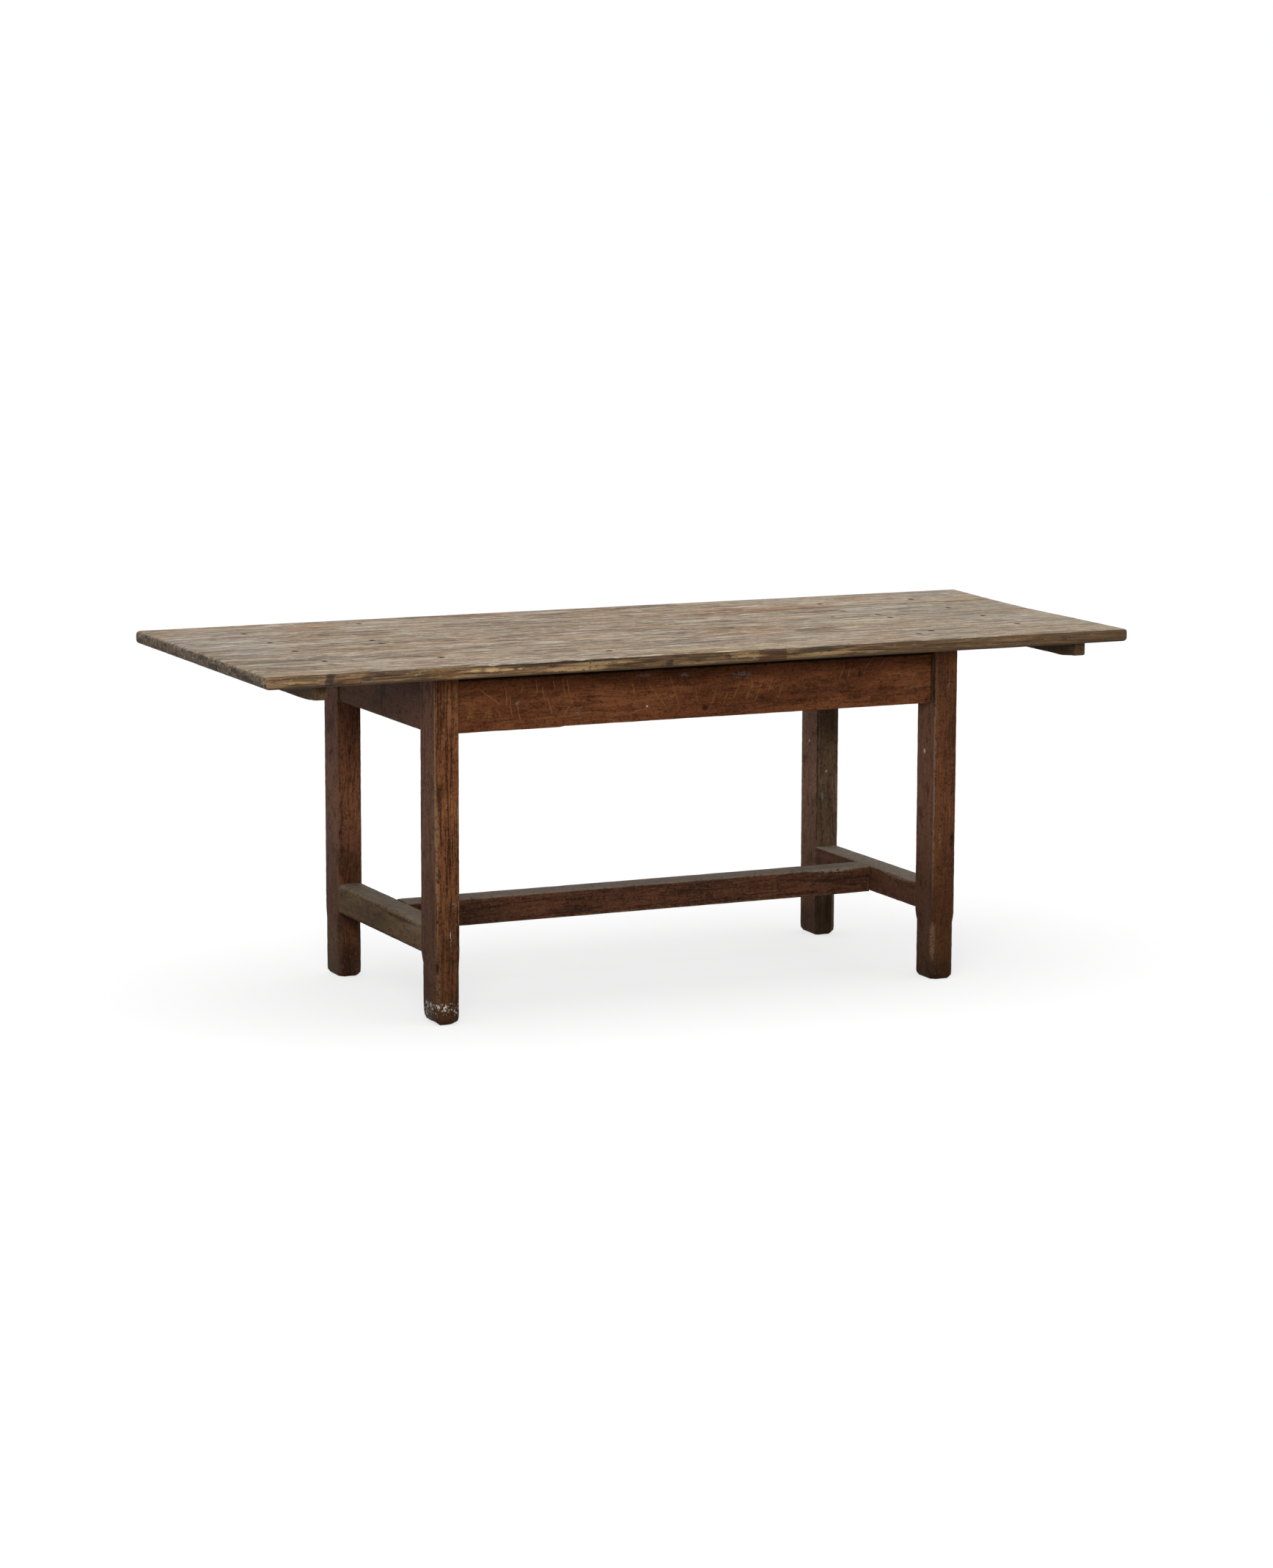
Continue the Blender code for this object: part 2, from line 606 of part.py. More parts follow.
def main():
    for old in list(bpy.data.objects):
        bpy.data.objects.remove(old)

    plank = wood("weathered_plank", (0.36, 0.27, 0.19), 0.75)
    stained = wood("red_brown_stain", (0.13, 0.05, 0.026), 0.55)
    batten = wood("dark_batten", (0.085, 0.055, 0.038), 0.75)
    peg_wood = wood("peg_wood", (0.10, 0.055, 0.035), 0.6)
    nail_iron = iron("old_iron", (0.055, 0.045, 0.04), 0.7)

    boards = [make_board(index, plank) for index in range(board_count)]
    long_rails = {long: make_long_rail(long, stained) for long in long_side}
    end_rails = {end: make_end_rail(end, stained) for end in end_side}
    stretchers = {end: make_end_stretcher(end, stained) for end in end_side}
    make_long_stretcher(stained)
    for end in end_side:
        cut(stretcher_mortise(end), [stretchers[end]])

    legs = {}
    for long, end in leg_names:
        legs[long, end] = make_leg(long, end, stained)
        cut(leg_mortises(long, end), [legs[long, end]])
        make_rail_pegs(long, end, peg_wood, legs[long, end], long_rails[long], end_rails[end])

    for end, from_end in (("left", LEFT_CLEAT_FROM_END), ("right", RIGHT_CLEAT_FROM_END)):
        place = TOP_LENGTH / 2 - from_end
        cleat = make_cleat(end, place, batten)
        make_cleat_screws(end, place, nail_iron, [cleat, *boards])

    left_row = row_spots(LEFT_ROW_FROM_END - TOP_LENGTH / 2, left_row_board_shares)
    right_row = row_spots(TOP_LENGTH / 2 - RIGHT_ROW_FROM_END, right_row_board_shares)
    make_nails("batten_nail_left", STUB_NAIL_LENGTH, left_row, nail_iron, boards)
    make_nails("batten_nail_right", STUB_NAIL_LENGTH, right_row, nail_iron, boards)

    left_spots = rail_nail_spots("left", left_rail_nail_board_shares)
    right_spots = rail_nail_spots("right", right_rail_nail_board_shares)
    make_nails("end_rail_nail_left", NAIL_LENGTH, left_spots, nail_iron, [*boards, end_rails["left"]])
    make_nails("end_rail_nail_right", NAIL_LENGTH, right_spots, nail_iron, [*boards, end_rails["right"]])

    front_across = -long_rail_place - RAIL_NAIL_OFFSET
    front_spots = [(share * long_clear, front_across) for share in front_rail_nail_length_shares]
    make_nails("front_rail_nail", NAIL_LENGTH, front_spots, nail_iron, [*boards, long_rails["front"]])

    nailed_legs = [("front", "left"), ("front", "right"), ("back", "right")]
    leg_spots = [leg_nail_spot(long, end) for long, end in nailed_legs]
    nailed = [legs[place] for place in nailed_legs]
    make_nails("leg_nail", NAIL_LENGTH, leg_spots, nail_iron, [*boards, *nailed])


main()
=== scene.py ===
import math

import bmesh
import bpy
from mathutils import Matrix, Vector


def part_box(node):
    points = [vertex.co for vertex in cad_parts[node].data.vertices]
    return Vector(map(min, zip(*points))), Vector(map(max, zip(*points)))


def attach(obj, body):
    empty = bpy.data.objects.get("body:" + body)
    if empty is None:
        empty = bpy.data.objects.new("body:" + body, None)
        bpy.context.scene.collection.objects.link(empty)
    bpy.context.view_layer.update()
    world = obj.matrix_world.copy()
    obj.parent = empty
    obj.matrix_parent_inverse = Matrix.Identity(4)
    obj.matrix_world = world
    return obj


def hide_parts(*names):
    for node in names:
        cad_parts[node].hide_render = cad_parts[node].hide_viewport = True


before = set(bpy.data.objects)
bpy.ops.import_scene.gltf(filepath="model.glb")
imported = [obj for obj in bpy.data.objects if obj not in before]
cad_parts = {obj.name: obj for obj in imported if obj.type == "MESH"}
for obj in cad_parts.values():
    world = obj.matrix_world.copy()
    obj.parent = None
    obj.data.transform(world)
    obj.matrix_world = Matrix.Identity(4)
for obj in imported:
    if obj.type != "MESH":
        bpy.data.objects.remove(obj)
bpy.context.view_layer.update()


# The view
# The table is seen from its front left, from a little above the top, through a long lens. The turn is
# from straight along the table's depth, the dip is below level, and the roll is the camera's own.
view_place = Vector((-3.9959, -8.3743, 1.9443))
view_turn = 0.44454
view_dip = 0.16225
view_roll = 0.00656
level_ahead = Vector((math.sin(view_turn), math.cos(view_turn), 0.0))
level_right = Vector((math.cos(view_turn), -math.sin(view_turn), 0.0))
ahead = level_ahead * math.cos(view_dip) - Vector((0, 0, 1)) * math.sin(view_dip)
upward = Vector((0, 0, 1)) * math.cos(view_dip) + level_ahead * math.sin(view_dip)
right = level_right * math.cos(view_roll) + upward * math.sin(view_roll)
upward = upward * math.cos(view_roll) - level_right * math.sin(view_roll)
lens = bpy.data.cameras.new("view")
lens.lens = 98.83
lens.sensor_width = 36
lens.clip_end = 200
camera = bpy.data.objects.new("view", lens)
camera.matrix_world = Matrix.Translation(view_place) @ Matrix((right, upward, -ahead)).transposed().to_4x4()
bpy.context.scene.collection.objects.link(camera)
bpy.context.scene.camera = camera


# Legs
# Four posts of straight-grained hardwood, stained red-brown and mortised for the rails and stretchers.
# Below these each corner is cut back by its own amount, and the feet are rounded by damp floors and
# dragging, the front left one most.
ARRIS_CUT = 0.0018
LEG_STEP = 0.006
LEG_CORNERS = ((-1, -1), (1, -1), (-1, 1), (1, 1))
# Places nearer to each other than this count as the same.
CLOSE = 0.0005
# The low cuts deepen in three steps, each from a height down and by a share of the whole cut.
LOW_CUT_STEPS = ((0.146, 0.3), (0.138, 0.3), (0.128, 0.4))
LOW_CUTS = {
    "leg_front_right": (0.01, 0.0075, 0.0095, 0.009),
    "leg_front_left": (0.009, 0.0055, 0.011, 0.008),
    "leg_back_right": (0.005, 0.013, 0.0025, 0.008),
    "leg_back_left": (0.0095, 0.0105, 0.006, 0.008),
}
LEG_LEAN = math.radians(0.23)
LEAN_FROM = 0.68
FOOT_ROUND = 0.005
FOOT_ROUND_RISE = 0.013
FOOT_HEIGHT = 0.05
FEET_CLEAR = 0.0004
# The worn foot is rounded again: the axis and side, how high the round rises and how deep it goes.
WORN_FOOT = [(0, -1, 0.036, 0.012), (0, 1, 0.022, 0.005), (1, -1, 0.03, 0.006), (1, 1, 0.03, 0.009)]


def block(name, low, high):
    """Adds a sawn block between two corners and opens it in edit mode."""
    bpy.ops.object.select_all(action="DESELECT")
    middle = [(a + b) / 2 for a, b in zip(low, high)]
    bpy.ops.mesh.primitive_cube_add(size=1, location=middle)
    piece = bpy.context.object
    piece.name = name
    piece.scale = [b - a for a, b in zip(low, high)]
    bpy.ops.object.transform_apply(location=True, rotation=True, scale=True)
    bpy.ops.object.mode_set(mode="EDIT")
    return piece


def middle_of(part):
    """A point's place, or the middle of an edge or face."""
    if isinstance(part, bmesh.types.BMVert):
        return part.co
    return sum((vert.co for vert in part.verts), Vector()) / len(part.verts)


def pick(piece, kind, test):
    """Selects only the verts, edges or faces that pass the test."""
    mode = {"verts": "VERT", "edges": "EDGE", "faces": "FACE"}[kind]
    bpy.ops.mesh.select_mode(type=mode)
    bpy.ops.mesh.select_all(action="DESELECT")
    shape = bmesh.from_edit_mesh(piece.data)
    for part in getattr(shape, kind):
        if test(part):
            part.select_set(True)
    bmesh.update_edit_mesh(piece.data)


def runs_along(edge, axis):
    """Whether an edge lies along X, Y or Z, numbered 0, 1 and 2."""
    step = edge.verts[1].co - edge.verts[0].co
    return abs(step[axis]) > 0.99 * step.length


def cut_evenly(piece, axis, step):
    """Divides a block along an axis into parts of about the step given."""
    places = [vert.co[axis] for vert in bmesh.from_edit_mesh(piece.data).verts]
    pick(piece, "edges", lambda edge: runs_along(edge, axis))
    bpy.ops.mesh.subdivide(number_cuts=max(1, round((max(places) - min(places)) / step) - 1))


def shift(piece, offset, test):
    """Moves the points that pass the test."""
    pick(piece, "verts", test)
    bpy.ops.transform.translate(value=offset)


def displace(piece, name, size, depth, level, group=""):
    """Pushes a surface in and out by cloudy noise, at a whole piece or at one group of its points."""
    pattern = bpy.data.textures.new(name, "CLOUDS")
    pattern.noise_scale = size
    pattern.noise_depth = 2
    moved = piece.modifiers.new(name, "DISPLACE")
    moved.texture = pattern
    moved.texture_coords = "LOCAL"
    moved.strength = depth
    moved.mid_level = level
    moved.vertex_group = group
    bpy.ops.object.modifier_apply(modifier=moved.name)


def weather(piece, dent_size, dent_depth, knock_size, knock_depth):
    """Leaves edit mode and wears a piece: soft dents all over, and knocks that only take from its arrises."""
    bpy.ops.mesh.select_mode(type="EDGE")
    bpy.ops.mesh.select_all(action="DESELECT")
    bpy.ops.mesh.edges_select_sharp(sharpness=math.radians(20))
    bpy.ops.object.vertex_group_add()
    piece.vertex_groups.active.name = "arris"
    bpy.ops.object.vertex_group_assign()
    bpy.ops.object.mode_set(mode="OBJECT")
    displace(piece, "dents", dent_size, dent_depth, 0.5)
    displace(piece, "knocks", knock_size, knock_depth, 0.7, "arris")
    bpy.ops.object.shade_smooth_by_angle(angle=math.radians(35))


def mirrored(piece, name, x, y):
    """A copy with its own mesh, on the other side of the table along X or Y."""
    other = piece.copy()
    other.name = name
    other.data = piece.data.copy()
    other.data.transform(Matrix.Diagonal((x, y, 1, 1)))
    if x * y < 0:
        other.data.flip_normals()
    bpy.context.scene.collection.objects.link(other)
    return other


def work_on(piece):
    """Makes a piece the only selected one and opens it in edit mode."""
    bpy.ops.object.select_all(action="DESELECT")
    piece.select_set(True)
    bpy.context.view_layer.objects.active = piece
    bpy.ops.object.mode_set(mode="EDIT")


def from_corner(part, middle, half, side_x, side_y):
    """How far a part of a leg is from one of the leg's corners, along X and along Y."""
    away = middle_of(part) - middle
    return half.x - side_x * away.x, half.y - side_y * away.y


def cut_low_corners(piece, middle, half, cuts):
    """Cuts a leg's corners back below the stretchers, each by its own amount."""
    for height, share in LOW_CUT_STEPS:
        for (side_x, side_y), cut in zip(LEG_CORNERS, cuts):
            step = (cut - ARRIS_CUT) * share
            for on_side, offset in ((0, (0, -side_y * step, 0)), (1, (-side_x * step, 0, 0))):
                shift(piece, offset, lambda vert: (
                    vert.co.z < height
                    and from_corner(vert, middle, half, side_x, side_y)[on_side] < CLOSE
                    and CLOSE < from_corner(vert, middle, half, side_x, side_y)[1 - on_side] < cut + CLOSE
                ))


def round_foot(piece, middle, half, rises, sides):
    """Draws the foot in towards its end, by a quarter round as high as each rise, on the sides given."""
    for axis, side, rise, depth in sides:
        last = 0
        for height in rises:
            if height > rise:
                continue
            inset = depth * (1 - math.sqrt(1 - (1 - height / rise) ** 2))
            offset = [0, 0, 0]
            offset[axis] = -side * (inset - last)
            last = inset
            shift(piece, offset, lambda vert: (
                vert.co.z < height + 0.0001 and side * (vert.co[axis] - middle[axis]) > 0.5 * half[axis]
            ))


leg_low, leg_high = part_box("leg_front_right")
leg_middle = (leg_low + leg_high) / 2
leg_half = (leg_high - leg_low) / 2
post = block("post_front_right", leg_low, leg_high)
cut_evenly(post, 2, LEG_STEP)
cut_evenly(post, 0, leg_half.x)
cut_evenly(post, 1, leg_half.y * 2 / 3)
pick(post, "edges", lambda edge: runs_along(edge, 2) and any(
    max(from_corner(edge, leg_middle, leg_half, side_x, side_y)) < CLOSE for side_x, side_y in LEG_CORNERS
))
bpy.ops.mesh.bevel(offset=ARRIS_CUT, segments=1, affect="EDGES")
foot_rings = sorted({round(vert.co.z, 5) for vert in bmesh.from_edit_mesh(post.data).verts}, reverse=True)
foot_rings = [height for height in foot_rings if height < FOOT_HEIGHT]
bpy.ops.object.mode_set(mode="OBJECT")
posts = {
    "leg_front_right": post,
    "leg_front_left": mirrored(post, "post_front_left", -1, 1),
    "leg_back_right": mirrored(post, "post_back_right", 1, -1),
    "leg_back_left": mirrored(post, "post_back_left", -1, -1),
}
for node, piece in posts.items():
    low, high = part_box(node)
    middle, half = (low + high) / 2, (high - low) / 2
    work_on(piece)
    cut_low_corners(piece, middle, half, LOW_CUTS[node])
    ends = [(axis, side, FOOT_ROUND_RISE, FOOT_ROUND) for axis in (0, 1) for side in (-1, 1)]
    round_foot(piece, middle, half, foot_rings, ends + (WORN_FOOT if node == "leg_front_left" else []))
    pick(piece, "verts", lambda vert: True)
    bpy.ops.transform.rotate(
        value=LEG_LEAN, orient_axis="Y", center_override=(middle.x, middle.y, LEAN_FROM)
    )
    weather(piece, dent_size=0.06, dent_depth=0.0006, knock_size=0.012, knock_depth=0.001)
    work_on(piece)
    sole = min(vert.co.z for vert in bmesh.from_edit_mesh(piece.data).verts)
    shift(piece, (0, 0, FEET_CLEAR - sole), lambda vert: vert.co.z < LEG_STEP)
    bpy.ops.object.mode_set(mode="OBJECT")
    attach(piece, "root")
    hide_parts(node)


class Tone:
    """A number, colour or place in a material. Arithmetic on tones adds the nodes that work it out."""

    def __init__(self, tree, socket):
        self.tree = tree
        self.socket = socket

    def add(self, kind, settings, inputs, output=0):
        """Adds a node: its settings first, then the value or link of each socket."""
        node = self.tree.nodes.new("ShaderNode" + kind)
        for name, value in settings.items():
            setattr(node, name, value)
        for name, value in inputs.items():
            if isinstance(value, Tone):
                self.tree.links.new(value.socket, node.inputs[name])
            else:
                node.inputs[name].default_value = value
        return Tone(self.tree, node.outputs[output])

    def math(self, operation, *others):
        return self.add("Math", {"operation": operation}, dict(enumerate((self, *others))))

    def __add__(self, other):
        return self.math("ADD", other)

    __radd__ = __add__

    def __sub__(self, other):
        return self.math("SUBTRACT", other)

    def __rsub__(self, other):
        return (self * -1).math("ADD", other)

    def __mul__(self, other):
        return self.math("MULTIPLY", other)

    __rmul__ = __mul__

    def __abs__(self):
        return self.math("ABSOLUTE")

    def most(self, other):
        return self.math("MAXIMUM", other)

    def least(self, other):
        return self.math("MINIMUM", other)

    def ease(self, start, end):
        """Rises smoothly from 0 where it equals the start to 1 at the end, which may be the lower one."""
        inputs = {"Value": self, "From Min": start, "From Max": end}
        return self.add("MapRange", {"interpolation_type": "SMOOTHSTEP"}, inputs)

    def within(self, start, end, fade):
        """1 between two numbers, with a fade as wide on both sides of each."""
        return self.ease(start - fade, start + fade) * self.ease(end + fade, end - fade)

    def vector(self, operation, other, output=0):
        """A place or direction worked out from this one and another."""
        return self.add("VectorMath", {"operation": operation}, {0: self, 1: other}, output)

    def split(self):
        """The three parts of a place."""
        node = self.add("SeparateXYZ", {}, {0: self}).socket.node
        return [Tone(self.tree, socket) for socket in node.outputs]

    def noise(self, stretch, detail=3, rough=0.6, output=0):
        """Cloudy noise from 0 to 1, so many times to the metre along X, Y and Z. Output 1 holds three."""
        stretched = self.vector("MULTIPLY", stretch)
        inputs = {"Scale": 1.0, "Detail": detail, "Roughness": rough, "Vector": stretched}
        return self.add("TexNoise", {}, inputs, output)

    def strayed(self, clouds, by):
        """A place moved about by three noises, up to half of each distance given either way."""
        return self.vector("ADD", clouds.vector("SUBTRACT", (0.5, 0.5, 0.5)).vector("MULTIPLY", by))

    def facing(self):
        """How squarely the surface faces along X, Y and Z, from -1 to 1."""
        return Tone(self.tree, self.socket.node.outputs["Normal"]).split()

    def between(self, low, high):
        """The colour at this share of the way from one to another, each a tone or read off a screen."""
        low, high = [end if isinstance(end, Tone) else in_linear_light(end) for end in (low, high)]
        return self.add("Mix", {"data_type": "RGBA"}, {0: self, 6: low, 7: high}, 2)

    def blend(self, other, share):
        """This colour with another mixed in by a share."""
        return share.between(self, other)

    def layered(self, *layers):
        """This colour with others laid over it in turn, each given with its share."""
        tone = self
        for other, share in layers:
            tone = tone.blend(other, share)
        return tone

    def patch(self, centre, size):
        """1 within an oval of the half sizes given round a centre, and fading to 0 past its rim."""
        away = self.vector("SUBTRACT", centre).vector("DIVIDE", size)
        return away.vector("LENGTH", (0, 0, 0), 1).ease(1.25, 0.55)

    def cut(self, start, end, width, face):
        """1 along a straight scratch between two places on a face of the given direction, and 0 beside it."""
        run = Vector(end) - Vector(start)
        away = self.vector("SUBTRACT", (Vector(start) + Vector(end)) / 2)
        beside = abs(away.vector("DOT_PRODUCT", run.cross(Vector(face)).normalized(), 1))
        along = abs(away.vector("DOT_PRODUCT", run.normalized(), 1))
        return beside.ease(width, 0.4 * width).least(along.ease(run.length / 2, run.length / 2 - 0.003))


def in_linear_light(colour):
    """A colour as read off a screen, from 0 to 255, in the linear light that materials take."""
    return (*[((part / 255 + 0.055) / 1.055) ** 2.4 for part in colour], 1.0)


def new_finish(name):
    """A material, its shader, and the place of each point on the piece."""
    material = bpy.data.materials.new(name)
    material.use_nodes = True
    tree = material.node_tree
    place = Tone(tree, None).add("TexCoord", {}, {}, "Object")
    return material, tree.nodes["Principled BSDF"], place


def feed(shader, **inputs):
    """Links tones to a shader's sockets, and sets plain values on them."""
    for name, value in inputs.items():
        socket = shader.inputs[name.replace("_", " ")]
        if isinstance(value, Tone):
            value.tree.links.new(value.socket, socket)
        else:
            socket.default_value = value


def arris_distance(place, low, high):
    """How far a point on a block is from the block's nearest arris."""
    inward = []
    for part, a, b in zip(place.split(), low, high):
        inward.append((b - a) / 2 - abs(part - (a + b) / 2))
    first, second, third = inward
    return first.least(second).most(first.most(second).least(third))


def grain(axis, along, across):
    """Stretching for a pattern that runs long with the grain."""
    return tuple(along if part == axis else across for part in range(3))


DUST = (166, 152, 136)
# A dark brown for dirt, also used for painted shade in a few marks.
GRIME_AND_SHADE = (34, 24, 18)
WHITE_SPECK = (190, 178, 164)


def stained_wood(
    name, axis, low, high, seed, tones, side, lines, wander=0.004, wear=0.6, dust=0.5, marks=(), cuts=()
):
    """Old stained hardwood with its grain along an axis, on a block between two corners. The tones are the
    stain's usual, light, dark and rubbed colours, and side is a painted sheen: a paler, greyer colour on the
    faces along X, where the grain is painted fainter too, standing in for light glancing off them. Lines says
    how strong its dark grain is, and wander how far it strays. Dust lies on what faces up. A mark is a
    centre, half sizes, a colour, a strength and how much of it has flaked off, and a cut is a start, an end,
    a half width, a face, a colour and a strength."""
    usual, light, dark, rubbed = tones
    material, shader, place = new_finish(name)
    there = place.vector("ADD", (seed, seed * 0.7, seed * 0.4))
    sway = there.noise(grain(axis, 2.2, 9), 3, 0.5, 1).vector("MULTIPLY", grain(axis, 0, wander * 4))
    flow = there.vector("ADD", sway)
    line = flow.noise(grain(axis, 2.0 + 600 * wander, 105), 1.5, 0.5)
    pore = flow.noise(grain(axis, 34, 420), 2, 0.6)
    streak = flow.noise(grain(axis, 7, 62), 4, 0.62)
    cloud = there.noise(grain(axis, 7, 15), 4, 0.6)
    smudge = there.noise(grain(axis, 26, 48), 4, 0.65)
    blot = there.noise((16, 16, 16), 4, 0.65)
    flake = there.noise((95, 95, 95), 4, 0.7)
    chip = there.noise(grain(axis, 150, 260), 3, 0.65)
    grit = there.noise(grain(axis, 170, 290), 2, 0.6)
    speck = there.noise((150, 150, 150))
    fine = there.noise((420, 420, 420), 2, 0.6)
    face_x, _, face_z = place.facing()
    # The faces along X get the painted sheen: the side colour, with fainter grain lines and pores.
    sheen_faces = abs(face_x).ease(0.5, 0.8)
    line_shade = (abs(line - 0.5).ease(0.075, 0.02) * streak.ease(0.66, 0.44)).most(line.ease(0.36, 0.3))
    line_shade = line_shade * (1 - sheen_faces * 0.6) * lines
    pore_shade = pore.ease(0.43, 0.35) * (1 - sheen_faces * 0.5) * (0.2 + 0.7 * lines)
    tone = cloud.ease(0.38, 0.66).between(usual, light).layered(
        (side, sheen_faces * 0.85),
        (GRIME_AND_SHADE, smudge.ease(0.47, 0.3) * sheen_faces * 0.6),
        (dark, streak.ease(0.5, 0.34) * 0.3),
        (light, streak.ease(0.54, 0.68) * 0.3),
        (dark, line_shade),
        (dark, flake.ease(0.48, 0.32) * 0.55),
        (dark, blot.ease(0.46, 0.32) * 0.45),
        (GRIME_AND_SHADE, pore_shade),
        (GRIME_AND_SHADE, grit.ease(0.44, 0.3) * 0.6),
        (rubbed, grit.ease(0.57, 0.7) * 0.5),
        (rubbed, chip.ease(0.6, 0.72) * 0.22),
    )
    ragged = place.strayed(there.noise((70, 70, 70), 3, 0.65, 1), (0.008, 0.008, 0.008))
    flaking = 0.25 * flake + 0.35 * chip + 0.4 * grit
    for centre, size, shade, strength, flaked in marks:
        spread = ragged.patch(centre, size) * strength
        if flaked:
            spread = spread * flaking.ease(0.4 + 0.1 * flaked, 0.45 + 0.1 * flaked)
        tone = tone.blend(shade, spread)
    edge = arris_distance(place, low, high)
    bare = (edge + (flake - 0.5) * 0.012).ease(0.0024, -0.001) * wear
    tone = tone.layered(
        (rubbed, bare),
        (DUST, face_z.ease(0.25, 0.85) * flake.ease(0.2, 0.5) * dust),
        (WHITE_SPECK, fine.ease(0.705, 0.75) * 0.55),
        (GRIME_AND_SHADE, speck.ease(0.63, 0.71) * 0.65),
    )
    broken = (0.4 + 0.9 * flake).least(1.0)
    for start, end, width, face, shade, strength in cuts:
        tone = tone.blend(shade, ragged.cut(start, end, width, face) * broken * strength)
    relief = flake * 0.35 + chip * 0.25 + fine * 0.15 - line_shade * 0.3 - pore_shade * 0.4
    bump = place.add("Bump", {}, {"Strength": 0.5, "Distance": 0.001, "Height": relief})
    roughness = 0.5 + 0.25 * bare + 0.15 * cloud
    feed(shader, Base_Color=tone, Normal=bump, Roughness=roughness, Specular_IOR_Level=0.02)
    return material


TAN = (136, 112, 84)
PAINT = (226, 218, 206)
ROSE_GREY = (128, 106, 90)
